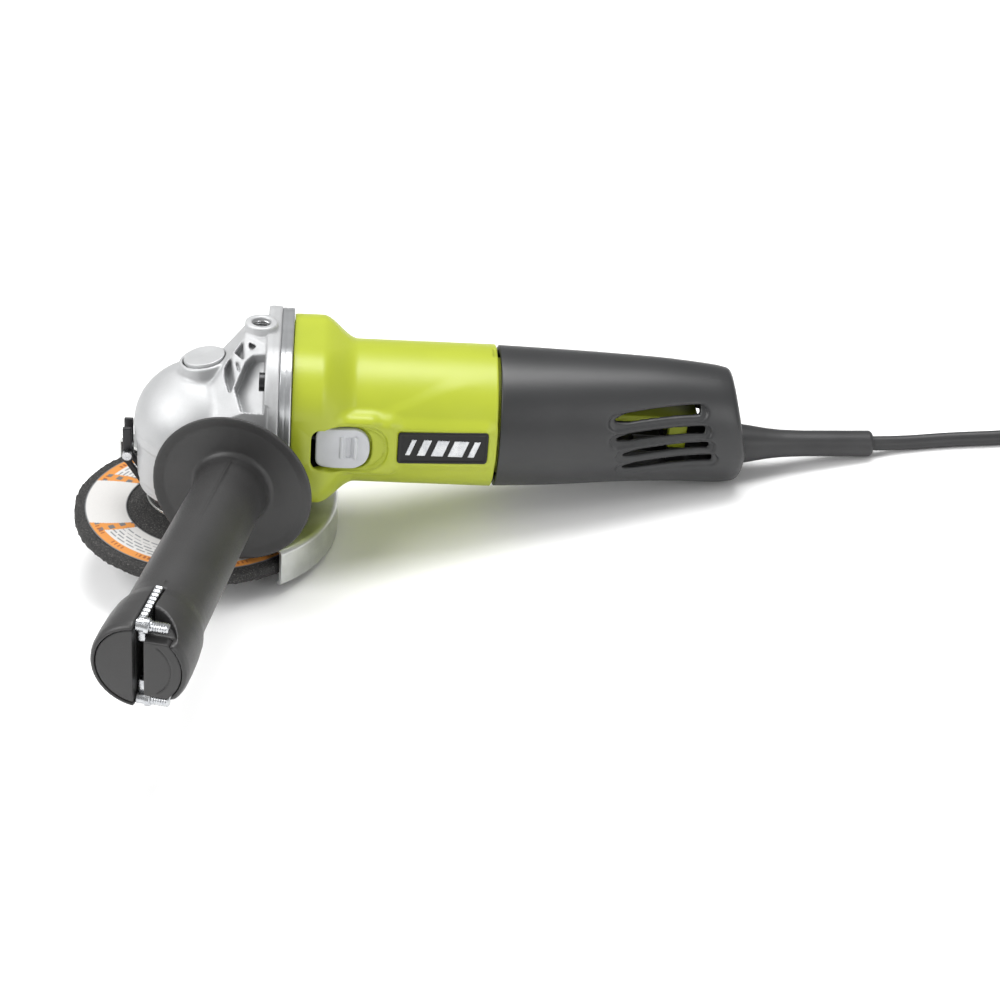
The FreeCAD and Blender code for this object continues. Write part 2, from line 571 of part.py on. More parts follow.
def make_armature():
    shaft = [("0", "13.4"), ("2.4", "13.4"), ("2.4", "26"), ("3.9", "26"), ("3.9", "62"), ("5", "62"),
             ("5", "127"), ("3.9", "127"), ("3.9", "138"), ("0", "138")]
    register("armature_shaft", turned("armature_shaft_body", shaft), MOTOR)
    core = turned("core_blank", [("5", "64"), ("16", "64"), ("16", "106"), ("5", "106")])
    slots = [primitive("Box", f"core_slot_{index}", Length="4", Width="1.6", Height="50")
             for index in range(12)]
    for index, slot in enumerate(slots):
        turn = Rotation(Vector(0, 0, 1), 30 * index)
        slot.Placement = Placement(turn.multVec(Vector(13.2, -0.8, 60)), turn)
    register("armature_core", cut("core_cut", core, slots), MOTOR)
    ends = [turned(f"winding_{index}", [("5", low), ("9", low), ("14.2", f"({low}) + 2"),
                                        ("14.2", f"({high}) - 2"),
                                        ("9", high), ("5", high)])
            for index, (low, high) in enumerate((("56", "63.9"), ("106.1", "113")))]
    register("armature_windings", group("windings_group", ends), MOTOR)
    register("commutator", turned("commutator_body",
                                  [("5", "114"), ("11", "114"), ("11", "125.5"), ("5", "125.5")]),
             MOTOR)
    hub = turned("fan_hub", [("3.9", "44.5"), ("8", "44.5"), ("8", "52"), ("27", "52"), ("27", "54"),
                             ("3.9", "54")])
    blades = [primitive("Box", f"fan_blade_{index}", Length="18.5", Width="1.4", Height="8.2")
              for index in range(12)]
    for index, blade in enumerate(blades):
        turn = Rotation(Vector(0, 0, 1), 30 * index)
        blade.Placement = Placement(turn.multVec(Vector(7.5, -0.7, 44.6)), turn)
    register("cooling_fan", fuse("fan_whole", [hub] + blades), MOTOR)


def make_motor_bearings():
    for label, inner, outer, start, end in (("front_bearing", "3.95", "11", "33.2", "38.3"),
                                            ("rear_bearing", "3.95", "11", "130.5", "137.5")):
        register(label, turned(label + "_ring", [(inner, start), (outer, start), (outer, end),
                                                 (inner, end)]), MOTOR)
    register("rear_bearing_sleeve", turned("rear_bearing_rubber", [
        ("11", "130"), ("12.3", "130"), ("12.3", "138"), ("11", "138")]), MOTOR)


def make_stator():
    core = turned("stator_blank", [("16.6", "64"), ("27.3", "64"), ("27.3", "106"), ("16.6", "106")])
    register("stator_core", core, MOTOR)
    coils = [turned(f"stator_coil_{index}", [("17.2", low), ("24.5", low), ("24.5", high),
                                             ("17.2", high)])
             for index, (low, high) in enumerate((("57.5", "64"), ("106", "112.5")))]
    register("stator_coils", group("stator_coils_group", coils), MOTOR)
    register("air_baffle", turned("air_baffle_ring", [
        ("18", "55.4"), ("27.8", "55.4"), ("27.8", "57.2"), ("18", "57.2")]), MOTOR)


def make_brushes():
    holders, brushes, springs = [], [], []
    for index, side in enumerate((1, -1)):
        sleeve = box(f"holder_{index}", ("115.4", "-4.4", "13"), ("122.4", "4.4", "22.6"))
        bore = box(f"holder_bore_{index}", ("116.6", "-3.1", "12"), ("121.2", "3.1", "22"))
        holder = cut(f"holder_cut_{index}", sleeve, [bore])
        brush = box(f"brush_{index}", ("116.7", "-3", "11.3"), ("121.1", "3", "18.5"))
        spring = rod(f"brush_spring_{index}", "1.6", "18.5", "22", ("118.9", "0"))
        for found, shelf in ((holder, holders), (brush, brushes), (spring, springs)):
            mirror = doc.addObject("Part::Mirroring", found.Name + "_side")
            mirror.Source = found
            mirror.Normal = Vector(0, 0, 1)
            shelf.append(mirror if side < 0 else found)
    register("brush_holders", group("brush_holders_group", holders))
    register("carbon_brushes", group("carbon_brushes_group", brushes))
    register("brush_springs", group("brush_springs_group", springs))


# Rear sleeve, switch and badge

def sleeve_wire(x, half, top, bottom, lean, inset):
    """An oval section: two half ellipses, upper and lower, in a plane that leans."""
    half, top, bottom = half - inset, top - inset, bottom + inset
    across = Vector(0, half, 0)
    left, right = Vector(x, 0, 0) - across, Vector(x, 0, 0) + across
    tip = math.tan(math.radians(lean))
    points = []
    for angle in range(0, 360, 10):
        turn = math.radians(angle)
        height = (top if turn < math.pi else -bottom) * math.sin(turn)
        points.append(Vector(x - height * tip, half * math.cos(turn), height))
    curve = Part.BSplineCurve()
    curve.interpolate(points, PeriodicFlag=True)
    return Part.Wire([curve.toShape()])


def sleeve_solid(inset, sections):
    return Part.makeLoft([sleeve_wire(*section, inset) for section in sections], True, True)


def make_sleeve():
    wall = SIZES["sleeve_wall"]
    outer = feature("sleeve_outer", sleeve_solid(0, SLEEVE))
    inner_sections = [(SLEEVE[0][0] - 1,) + SLEEVE[0][1:]] + list(SLEEVE[1:-2])
    inner_sections.append((231.5, 19.5, 22, -21.5, 8))
    inner = feature("sleeve_inner", sleeve_solid(wall, inner_sections))
    tools = [inner]
    for side in (-1, 1):
        for index in range(4):
            slot = primitive("Box", f"vent_{side}_{index}", Length="38", Width="24", Height="3.4")
            low = 15.6 - 6.7 * index
            slot.Placement = Placement(Vector(178 + 2.6 * index, side * 24 - 12, low),
                                       Rotation(Vector(0, 1, 0), -6.5))
            tools.append(slot)
    tools.append(placed(rod("relief_hole", "relief_root + 0.3", "-12", "20"), RELIEF))
    register("rear_sleeve", cut("sleeve_cut", outer, tools))


def make_switch():
    cap = box("slider_cap", ("switch_front", "-33.6", "switch_low"),
              ("switch_back", "-30.3", "switch_high"))
    stem = box("slider_stem", ("switch_front + 1.4", "-30.5", "-5.8"), ("switch_back - 7", "-29", "-0.2"))
    register("switch_slider", fuse("slider_whole", [cap, stem]))
    link = [box("link_front", ("switch_front + 1.4", "-29", "-5.8"), ("121", "-28", "-0.2")),
            box("link_step", ("119.4", "-28.5", "-5.8"), ("121", "-17", "-0.2")),
            box("link_rear", ("119.4", "-18.5", "-5.8"), ("158", "-17", "-0.2"))]
    register("switch_link", fuse("link_whole", link))
    body = box("switch_block", ("158.4", "-21", "-9"), ("180", "-9", "4"))
    register("switch_body", fuse("switch_body_whole",
                                 [body, box("switch_tabs", ("179", "-18", "-6"), ("186", "-12", "-4"))]))
    register("suppressor", fuse("suppressor_whole", [
        box("suppressor_block", ("160", "4", "-8"), ("178", "14", "6")),
        box("suppressor_leads", ("178", "6", "-3"), ("184", "12", "-2"))]))
    register("badge_plate", box_badge())


def box_badge():
    badge = box("badge_blank", ("badge_front", "-32.3", "badge_low"),
                ("badge_back", "-31.6", "badge_high"))
    rounded = doc.addObject("Part::Fillet", "badge_rounded")
    rounded.Base = badge
    doc.recompute()
    rounded.Edges = [(number + 1, 1.8, 1.8) for number, edge in enumerate(badge.Shape.Edges)
                     if abs(edge.tangentAt(edge.FirstParameter).y) > 0.9]
    return rounded


# Mains lead: strain relief, clamp, cord, coil and plug

RELIEF = Placement(Vector(237, 0, -9.5), Rotation(Vector(0, 0, 1), Vector(math.cos(math.radians(2.6)), 0,
                                                                          math.sin(math.radians(2.6)))))
RELIEF_END = 61.5


def make_relief():
    points = [("0", "-9"), ("relief_root + 2.2", "-9"), ("relief_root + 2.2", "-6"),
              ("relief_root", "-6"),
              ("relief_root", "2"), ("7.2", "14"), ("relief_radius", "26"),
              ("relief_radius", str(RELIEF_END - 1)),
              ("relief_radius - 1", str(RELIEF_END)), ("0", str(RELIEF_END))]
    register("strain_relief", turned("relief_body", points), RELIEF)
    saddle = box("clamp_saddle", ("post_start", "-11", "post_foot - 8"), ("post_end", "11", "post_foot"))
    lead_bed = primitive("Cylinder", "clamp_lead", ("post_start - 1", "0", "post_foot - 4"),
                         Rotation(Vector(0, 1, 0), 90), Radius="cord_radius + 0.1", Height="10")
    holes = [rod(f"clamp_screw_hole_{index}", "1.35", "post_foot - 9", "post_foot + 1",
                 clamp_screw_place(side))
             for index, side in enumerate((-1, 1))]
    register("cord_clamp", cut("cord_clamp_cut", saddle, [lead_bed] + holes))
    screws = []
    for index, side in enumerate((-1, 1)):
        place = clamp_screw_place(side)
        head = rod(f"clamp_head_{index}", "2.6", "post_foot - 9.7", "post_foot - 8", place)
        shank = rod(f"clamp_shank_{index}", "1.3", "post_foot - 8", "post_foot + 2.4", place)
        screws.append(fuse(f"clamp_screw_{index}", [head, shank]))
    register("cord_clamp_screws", group("cord_clamp_screws_group", screws))
    inner = along_x("inner_lead_body", "cord_radius", "190", "227", ("0", "-11"))
    register("inner_lead", common("inner_lead_trim",
                                  [inner, box("inner_lead_box", ("189", "-5", "-16"),
                                              ("228", "5", "-5"))]))


def route_wire(points):
    """Straight runs joined by tangent arcs as large as the runs allow."""
    edges, radii, previous = [], [], points[0]
    for before, corner, after in zip(points, points[1:], points[2:]):
        back, ahead = (before - corner), (after - corner)
        turn = math.pi - back.getAngle(ahead)
        setback = 0.45 * min(back.Length, ahead.Length)
        radii.append(setback / math.tan(turn / 2))
        enter = corner + back.normalize() * setback
        leave = corner + ahead.normalize() * setback
        bisector = (back + ahead).normalize()
        middle = corner + bisector * (radii[-1] / math.cos(turn / 2) - radii[-1])
        edges += [Part.LineSegment(previous, enter).toShape(), Part.Arc(enter, middle, leave).toShape()]
        previous = leave
    edges.append(Part.LineSegment(previous, points[-1]).toShape())
    return Part.Wire(edges), radii


# Side handle

def make_side_handle():
    grip_points = [("stud_radius + 0.04", "handle_seat"), ("12", "handle_seat"), ("15", "41"),
                   ("shield_radius", "42.6"),
                   ("shield_radius", "44.8"), ("17.5", "45"), ("grip_root", "47.5"), ("grip_root", "62"),
                   ("grip_radius", "142"), ("18.2", "151"), ("bulge_radius", "158"),
                   ("bulge_radius", "173"),
                   ("18.4", "176.6"), ("cap_radius + 0.1", "handle_end"), ("0", "handle_end"),
                   ("0", "74"),
                   ("stud_radius + 0.04", "74")]
    slots = [box("shank_slot", ("-slot_half", "-7.6", "88"), ("slot_half", "7.6", "180")),
             box("fork_slot", ("-slot_half", "-21", "148"), ("slot_half", "21", "180")),
             rod("cap_recess", "cap_radius + 0.1", "173", "179"),
             box("upper_pin_recess", ("slot_half - 0.1", "12.6", "166"), ("12.5", "21", "180")),
             box("lower_pin_recess", ("slot_half - 0.1", "-21", "166"), ("12.5", "-12.6", "180"))]
    register("side_handle_grip", cut("grip_cut", turned("grip_blank", grip_points), slots), HANDLE)
    register("side_handle_stud", turned("stud_body",
                                        [("0", "23.5"), ("stud_radius", "23.5"), ("stud_radius", "73.8"),
                                                      ("0", "73.8")]), HANDLE)
    blank = rod("cap_blank_front", "cap_radius", "173.1", "handle_end")
    front = common("cap_front", [blank, box("cap_front_half", ("-20", "-20", "170"),
                                            ("-slot_half - 0.3", "20", "180"))])
    register("handle_cap_front", front, HANDLE)
    other = rod("cap_blank_rear", "cap_radius", "173.1", "handle_end")
    rear = common("cap_rear", [other, box("cap_rear_half", ("slot_half + 0.3", "-12.4", "170"),
                                          ("20", "12.4", "180"))])
    register("handle_cap_rear", rear, HANDLE)
    head = box("spanner_head", ("-spanner_half", "-19.6", "150"), ("spanner_half", "19.6", "177.4"))
    notch = box("spanner_notch", ("-spanner_half - 1", "-9", "158"), ("spanner_half + 1", "9", "178"))
    shank = box("spanner_shank", ("-spanner_half", "-7", "90"), ("spanner_half", "7", "158"))
    holes = [primitive("Cylinder", f"spanner_hole_{index}",
                       ("-spanner_half - 1", f"{side} * nut_hole_circle", "173.2"),
                       Rotation(Vector(0, 1, 0), 90), Radius="1.6", Height="10") for index,
                       side in enumerate((1, -1))]
    plate = cut("spanner_cut", fuse("spanner_whole", [cut("spanner_fork", head, [notch]), shank]), holes)
    register("pin_spanner", plate, HANDLE)
    pins = []
    for index, side in enumerate((1, -1)):
        place = ("spanner_half", f"{side} * nut_hole_circle", "173.2")
        peg = primitive("Cylinder", f"peg_{index}", place, Rotation(Vector(0, 1, 0), 90),
                        Radius="spanner_pin", Height="9.4")
        rivet = primitive("Cylinder", f"rivet_{index}", ("-spanner_half",) + place[1:],
                          Rotation(Vector(0, 1, 0), 90),
                          Radius="1.6", Height="spanner_half * 2 + 1")
        pins.append(fuse(f"spanner_pin_{index}", [peg, rivet]))
    register("spanner_pins", group("spanner_pins_group", pins), HANDLE)


for make in (make_gear_case, make_case_plate, make_case_screws, make_retainer, make_spindle_lock,
             make_spindle,
             make_gears, make_wheel, make_guard, make_guard_clamp, make_housing, make_armature,
             make_motor_bearings, make_stator, make_brushes, make_sleeve, make_switch, make_relief,
             make_side_handle):
    make()
doc.recompute()

# Tilt the tool until the guard's rim and the tail's heel stand on one floor

heel = Vector(SLEEVE[4][0] - SLEEVE[4][3] * math.tan(math.radians(SLEEVE[4][4])), 0, SLEEVE[4][3])
rim = Vector(SIZES["guard_radius"], 0, SIZES["guard_bottom"])
tilt = math.degrees(math.atan2(heel.z - rim.z, heel.x - rim.x))
TILT = Rotation(Vector(0, 1, 0), tilt)
for shape_object, frame, cord in subparts.values():
    shape_object.Placement = Placement(Vector(), TILT).multiply(frame)
doc.recompute()
bounds = FreeCAD.BoundBox()
for shape_object, frame, cord in subparts.values():
    bounds.add(shape_object.Shape.optimalBoundingBox(False, False))
SHIFT = Vector(-bounds.Center.x, -bounds.Center.y, -bounds.ZMin)
STAND = Placement(SHIFT, TILT)
print(f"tilt {tilt:.6f} degrees, spindle line crosses the motor's axis at",
      [round(number, 4) for number in SHIFT])
for shape_object, frame, cord in subparts.values():
    shape_object.Placement = STAND.multiply(frame)

# The lead, laid out on the floor

FLOOR_LINE = SIZES["cord_radius"] + 0.05
EXIT = STAND.multiply(RELIEF).multVec(Vector(0, 0, RELIEF_END))
EXIT_WAY = STAND.Rotation.multiply(RELIEF.Rotation).multVec(Vector(0, 0, 1))
COIL_CENTRE = Vector(322, 4, 0)
COIL_STEP = 7                  # one cord's width between turns
PLUG_TOP = -30                 # where the plug's own sleeve begins, along Y


def lead(label, points):
    """A round tube along runs and arcs, with its arcs' radii printed."""
    wire, radii = route_wire(points)
    way = (points[1] - points[0]).normalize()
    ring = Part.Wire([Part.makeCircle(SIZES["cord_radius"], points[0], way)])
    shape = wire.makePipeShell([ring], True, False)
    expected = math.pi * SIZES["cord_radius"] ** 2 * wire.Length
    print(f"{label} length {wire.Length:.1f} volume {shape.Volume:.0f} of {expected:.0f} radii",
          [round(radius, 1) for radius in radii])
    register(label, feature(label + "_tube", shape), Placement(), True)


def make_lead():
    outer_turn = COIL_TURN + COIL_STEP
    lead("cord", [EXIT, EXIT + EXIT_WAY * 12.5, Vector(214, 56.5, FLOOR_LINE),
                  Vector(238, 51.5, FLOOR_LINE),
                  Vector(265, 49.6, FLOOR_LINE), Vector(292, COIL_CENTRE.y + outer_turn, FLOOR_LINE),
                  Vector(COIL_CENTRE.x, COIL_CENTRE.y + outer_turn - 0.3, FLOOR_LINE)])
    ring = turned("coil_ring", [(str(outer_turn + 3.5), "0"), (str(outer_turn + 3.5), "4 * cord_radius"),
                                (str(COIL_TURN - COIL_STEP - 3.5), "4 * cord_radius"),
                                (str(COIL_TURN - COIL_STEP - 3.5), "0")])
    register("cord_coil", ring, Placement(COIL_CENTRE, Rotation()), True)
    east = COIL_CENTRE.x + outer_turn
    lead("plug_lead", [Vector(east, COIL_CENTRE.y, 10.5), Vector(east + 0.4, COIL_CENTRE.y - 15, 10),
                       Vector(east + 0.4, PLUG_TOP, 9)])
    frame = Placement(Vector(east + 0.4, PLUG_TOP, 9), Rotation(Vector(0, 0, 1), Vector(0, -1, 0)))
    sleeve = turned("plug_sleeve", [("0", "0"), ("4.6", "0"), ("6.6", "13"), ("6.6", "15"), ("0", "15")])
    body = box("plug_block", ("-12", "-8", "14"), ("12", "8", "37"))
    register("plug_body", fuse("plug_whole", [sleeve, body]), frame, True)
    blades = [box(f"plug_blade_{index}", (f"{across} - 0.75", f"-{half}", "37"),
                  (f"{across} + 0.75", half, "54"))
              for index, (across, half) in enumerate((("6.35", "3.95"), ("-6.35", "3.15")))]
    register("plug_blades", group("plug_blades_group", blades), frame, True)


make_lead()
doc.recompute()
for label in ("cord_coil", "plug_body", "plug_blades"):
    shape_object, frame, cord = subparts[label]
    shape_object.Placement = frame

# Every object must be sound before anything is written

doc.recompute()
faults = [f"{thing.Label}: {thing.State}" for thing in doc.Objects
          if "Invalid" in thing.State or "Error" in thing.State]
for label, (shape_object, frame, cord) in subparts.items():
    shape = shape_object.Shape
    if shape.isNull() or not shape.isValid() or not shape.Solids:
        faults.append(f"{label}: the shape is not a sound solid")
if faults:
    raise RuntimeError("; ".join(faults))
os.makedirs("parts", exist_ok=True)
for label, (shape_object, frame, cord) in subparts.items():
    shape = shape_object.Shape
    print(f"{label:24s} solids {len(shape.Solids)} volume {shape.Volume:.0f}")
    shape.exportStep(f"parts/{label}.step")
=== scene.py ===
import json
import math

import bpy
import numpy as np
from mathutils import Matrix, Vector


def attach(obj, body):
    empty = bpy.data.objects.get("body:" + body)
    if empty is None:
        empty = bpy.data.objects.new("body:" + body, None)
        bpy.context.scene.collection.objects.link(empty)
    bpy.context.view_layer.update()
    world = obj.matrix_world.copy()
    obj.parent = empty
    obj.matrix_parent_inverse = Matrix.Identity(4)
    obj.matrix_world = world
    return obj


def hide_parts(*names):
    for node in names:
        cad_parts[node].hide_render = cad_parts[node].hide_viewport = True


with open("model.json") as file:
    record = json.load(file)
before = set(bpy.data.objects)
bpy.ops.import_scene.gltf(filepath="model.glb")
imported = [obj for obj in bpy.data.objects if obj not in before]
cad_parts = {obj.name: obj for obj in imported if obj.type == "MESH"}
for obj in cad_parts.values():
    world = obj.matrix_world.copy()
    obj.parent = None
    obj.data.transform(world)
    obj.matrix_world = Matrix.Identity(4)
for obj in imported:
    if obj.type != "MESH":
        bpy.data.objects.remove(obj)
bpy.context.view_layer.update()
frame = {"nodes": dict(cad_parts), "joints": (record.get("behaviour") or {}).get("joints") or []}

rng = np.random.default_rng(7)

# The tool's own frame, in millimetres: spindle on Z, motor shaft along +X, side handle to -Y

MM = 0.001
IN_MM = Matrix.Diagonal((MM, MM, MM, 1))
joints = {joint["name"]: joint for joint in frame["joints"]}
UP = Vector(joints["spindle_spin"]["axis"])
AFT = Vector(joints["armature_spin"]["axis"])
START = Vector(joints["spindle_spin"]["pos_m"])
TOOL = Matrix.Translation(START) @ Matrix((AFT, UP.cross(AFT), UP)).transposed().to_4x4() @ IN_MM


def frame_of(x_way, y_way, z_way, place):
    """A frame inside the tool's, whose units are millimetres."""
    columns = Matrix((x_way, y_way, z_way)).transposed().to_4x4()
    return Matrix.Translation(Vector(place)) @ columns


# Side handle: its slant towards the front, and where its axis meets the tool's middle plane
SLANT = math.radians(12.5)
HANDLE_X, HANDLE_Z = 24.3, -16.3
HANDLE = TOOL @ frame_of((math.cos(SLANT), -math.sin(SLANT), 0), (0, 0, 1),
                         (-math.sin(SLANT), -math.cos(SLANT), 0), (HANDLE_X, 0, HANDLE_Z))

# Strain relief: its rise, its root in the tail and its end
RISE = math.radians(2.6)
RELIEF_X, RELIEF_Z = 237, -9.5
RELIEF_END = 61.5
RELIEF = TOOL @ frame_of((0, -1, 0), (-math.sin(RISE), 0, math.cos(RISE)),
                         (math.cos(RISE), 0, math.sin(RISE)), (RELIEF_X, 0, RELIEF_Z))


# Camera, solved from the photograph's perspective

CAMERA_AXES = ((0.99554, -0.0543, 0.0772), (-0.0369, 0.5287, 0.8480), (-0.0869, -0.8471, 0.5244))
CAMERA_PLACE = (46.4902, -846.6524, 480.1438)
camera_data = bpy.data.cameras.new("camera")
camera_data.lens, camera_data.sensor_width = 79.54, 36
camera_data.clip_start, camera_data.clip_end = 0.05, 20
camera = bpy.data.objects.new("camera", camera_data)
bpy.context.collection.objects.link(camera)
bpy.context.scene.camera = camera
view_frame = TOOL @ frame_of(*CAMERA_AXES, CAMERA_PLACE)
camera.matrix_world = (Matrix.Translation(view_frame.translation)
                       @ view_frame.to_3x3().normalized().to_4x4())


# Materials

# Sockets of a Mix node set to colours, found by number since its other types share their names
MIX_SHARE, MIX_FIRST, MIX_SECOND, MIX_RESULT = 0, 6, 7, 2
PAPER_GRAIN = 2200


def new_material(name):
    made = bpy.data.materials.new(name)
    made.use_nodes = True
    shader = made.node_tree.nodes["Principled BSDF"]
    return made, made.node_tree.nodes, made.node_tree.links, shader


def finish(name, colour, other=None, rough=0.5, rough_high=None, metallic=0.0, patch=40.0, grain=1400.0,
           depth=0.02, second=0.0, second_grain=250.0, stretch=(1, 1, 1), specular=0.5, speck=None):
    """A material with drifting colour, uneven gloss and a fine surface, in the piece's own coordinates.

    patch, grain and second_grain are noise scales, depth is the bump's in millimetres, second is the
    share of a coarser grain in it, and speck is a colour and the scale of its dots.
    """
    made, nodes, links, shader = new_material(name)
    place = nodes.new("ShaderNodeTexCoord")
    scaled = nodes.new("ShaderNodeMapping")
    scaled.inputs["Scale"].default_value = stretch
    links.new(place.outputs["Object"], scaled.inputs["Vector"])

    def noise(scale, detail=3.0):
        found = nodes.new("ShaderNodeTexNoise")
        found.inputs["Scale"].default_value = scale
        found.inputs["Detail"].default_value = detail
        links.new(scaled.outputs["Vector"], found.inputs["Vector"])
        return found.outputs["Fac"]

    def ranged(source, low, high, start=0.35, end=0.65):
        found = nodes.new("ShaderNodeMapRange")
        for key, number in (("From Min", start), ("From Max", end), ("To Min", low), ("To Max", high)):
            found.inputs[key].default_value = number
        links.new(source, found.inputs["Value"])
        return found.outputs["Result"]

    def mixed(share, tint):
        found = nodes.new("ShaderNodeMix")
        found.data_type = "RGBA"
        links.new(share, found.inputs[MIX_SHARE])
        found.inputs[MIX_SECOND].default_value = (*tint, 1)
        return found

    fine = noise(grain)
    drift = mixed(ranged(noise(patch), 0, 1), other or [channel * 0.9 for channel in colour])
    drift.inputs[MIX_FIRST].default_value = (*colour, 1)
    colour_out = drift.outputs[MIX_RESULT]
    if speck:
        tint, speck_grain = speck
        dots = mixed(ranged(noise(speck_grain, 1.0), 0, 1, 0.62, 0.68), tint)
        links.new(colour_out, dots.inputs[MIX_FIRST])
        colour_out = dots.outputs[MIX_RESULT]
    links.new(colour_out, shader.inputs["Base Color"])
    links.new(ranged(fine, rough, rough_high or rough + 0.1), shader.inputs["Roughness"])
    shader.inputs["Metallic"].default_value = metallic
    shader.inputs["Specular IOR Level"].default_value = specular
    bump = nodes.new("ShaderNodeBump")
    bump.inputs["Strength"].default_value = 1.0
    bump.inputs["Distance"].default_value = depth * MM
    height = fine
    if second:
        added = nodes.new("ShaderNodeMath")
        added.operation = "MULTIPLY_ADD"
        links.new(noise(second_grain, 2.0), added.inputs[0])
        added.inputs[1].default_value = second
        links.new(fine, added.inputs[2])
        height = added.outputs["Value"]
    links.new(height, bump.inputs["Height"])
    links.new(bump.outputs["Normal"], shader.inputs["Normal"])
    return made


# Noise scales are per metre: the points of every piece are in metres
LOOKS = {
    "cast_case": dict(colour=(0.50, 0.505, 0.51), other=(0.44, 0.445, 0.45), rough=0.46, rough_high=0.58,
                      metallic=0.45, patch=55, grain=1500, depth=0.022, second=0.5, second_grain=420),
    "machined_plate": dict(colour=(0.50, 0.51, 0.52), other=(0.43, 0.44, 0.45), rough=0.30, metallic=0.85,
                           patch=90, grain=2400, depth=0.012, stretch=(0.2, 1, 1)),
    "green_housing": dict(colour=(0.365, 0.42, 0.022), other=(0.34, 0.395, 0.020), rough=0.34,
                          rough_high=0.46, patch=30, grain=2300, depth=0.007, second=0.6, second_grain=700),
    "dark_housing": dict(colour=(0.022, 0.0225, 0.0235), other=(0.018, 0.0185, 0.0195), rough=0.36,
                         rough_high=0.46, patch=35, grain=2600, depth=0.012, second=0.8, second_grain=900),
    "grip_plastic": dict(colour=(0.034, 0.0335, 0.0335), other=(0.028, 0.0275, 0.0275), rough=0.38,
                         rough_high=0.50, patch=40, grain=2400, depth=0.014, second=0.8, second_grain=850),
    "steel": dict(colour=(0.56, 0.565, 0.57), rough=0.26, metallic=1.0, patch=120, grain=1800, depth=0.008,
                  stretch=(1, 1, 6)),
    "bearing_steel": dict(colour=(0.66, 0.67, 0.68), rough=0.16, metallic=1.0, patch=90, grain=2600,
                          depth=0.004),
    "bronze": dict(colour=(0.48, 0.33, 0.15), rough=0.34, metallic=1.0, patch=90, grain=1800, depth=0.008),
    "zinc_plate": dict(colour=(0.60, 0.61, 0.60), other=(0.52, 0.53, 0.52), rough=0.30, rough_high=0.44,
                       metallic=0.9, patch=130, grain=1500, depth=0.010, second=0.5, second_grain=500),
    "bright_zinc": dict(colour=(0.56, 0.57, 0.58), other=(0.44, 0.45, 0.47), rough=0.2, rough_high=0.34,
                        metallic=1.0, patch=400, grain=2500, depth=0.02),
    "black_steel": dict(colour=(0.022, 0.022, 0.024), rough=0.34, metallic=0.3, patch=120, grain=1700,
                        depth=0.012),
    "abrasive": dict(colour=(0.030, 0.029, 0.028), other=(0.016, 0.016, 0.016), rough=0.72, rough_high=0.95,
                     patch=900, grain=1500, depth=0.32, second=0.9, second_grain=620,
                     speck=((0.11, 0.105, 0.10), 1900)),
    "button_silver": dict(colour=(0.50, 0.505, 0.51), other=(0.45, 0.455, 0.46), rough=0.36, metallic=0.35,
                          patch=90, grain=2200, depth=0.008),
    "switch_grey": dict(colour=(0.50, 0.51, 0.53), other=(0.46, 0.47, 0.49), rough=0.36, patch=120,
                        grain=2600, depth=0.008),
    "black_plastic": dict(colour=(0.022, 0.022, 0.023), rough=0.34, rough_high=0.42, patch=70, grain=2400,
                          depth=0.006),
    "laminations": dict(colour=(0.22, 0.22, 0.23), other=(0.15, 0.15, 0.16), rough=0.42, metallic=0.9,
                        patch=200, grain=1600, depth=0.02, stretch=(9, 1, 1)),
    "copper_wire": dict(colour=(0.58, 0.22, 0.08), other=(0.44, 0.15, 0.05), rough=0.24, metallic=0.9,
                        patch=500, grain=1500, depth=0.05, stretch=(4, 1, 1)),
    "carbon": dict(colour=(0.03, 0.03, 0.033), rough=0.5, patch=300, grain=2200, depth=0.012),
    "black_rubber": dict(colour=(0.020, 0.020, 0.021), other=(0.027, 0.027, 0.028), rough=0.42,
                         rough_high=0.55, patch=50, grain=2600, depth=0.010, second=0.5, second_grain=800),
    "badge_black": dict(colour=(0.006, 0.006, 0.006), rough=0.34, rough_high=0.40, specular=0.3, patch=90,
                        grain=2400, depth=0.004),
    "dark_screw": dict(colour=(0.05, 0.05, 0.052), rough=0.3, metallic=0.8, patch=300, grain=2200,
                       depth=0.01),
}
MATERIALS = {name: finish(name + "_look", **look) for name, look in LOOKS.items()}


def painted(name, rough, depth):
    """A finish whose colour is painted on the piece's points."""
    made, nodes, links, shader = new_material(name)
    paint = nodes.new("ShaderNodeAttribute")
    paint.attribute_name = "paint"
    place, fine = nodes.new("ShaderNodeTexCoord"), nodes.new("ShaderNodeTexNoise")
    fine.inputs["Scale"].default_value = PAPER_GRAIN
    links.new(place.outputs["Object"], fine.inputs["Vector"])
    bump = nodes.new("ShaderNodeBump")
    bump.inputs["Distance"].default_value = depth * MM
    links.new(fine.outputs["Fac"], bump.inputs["Height"])
    links.new(bump.outputs["Normal"], shader.inputs["Normal"])
    links.new(paint.outputs["Color"], shader.inputs["Base Color"])
    shader.inputs["Roughness"].default_value = rough
    return made


# Mesh building: solids from fields of distances, and turned surfaces. Numbers in the functions that
# make a piece are millimetres in its own frame, and pairs of them are limits along an axis.

TINY = 1e-6


def add_piece(name, points, faces, place, look, body, slot, nodes=()):
    """A mesh given in a frame's millimetres becomes a piece that rides on a body."""
    mesh = bpy.data.meshes.new(name)
    to_metres = np.array(place, float)
    points = np.asarray(points, float) @ to_metres[:3, :3].T + to_metres[:3, 3]
    mesh.from_pydata(points, [], faces)
    mesh.validate()
    mesh.polygons.foreach_set("use_smooth", [True] * len(mesh.polygons))
    piece = bpy.data.objects.new(name, mesh)
    bpy.context.collection.objects.link(piece)
    mesh.materials.append(MATERIALS[look] if isinstance(look, str) else look)
    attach(piece, body)
    if nodes:
        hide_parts(*nodes)
    return piece


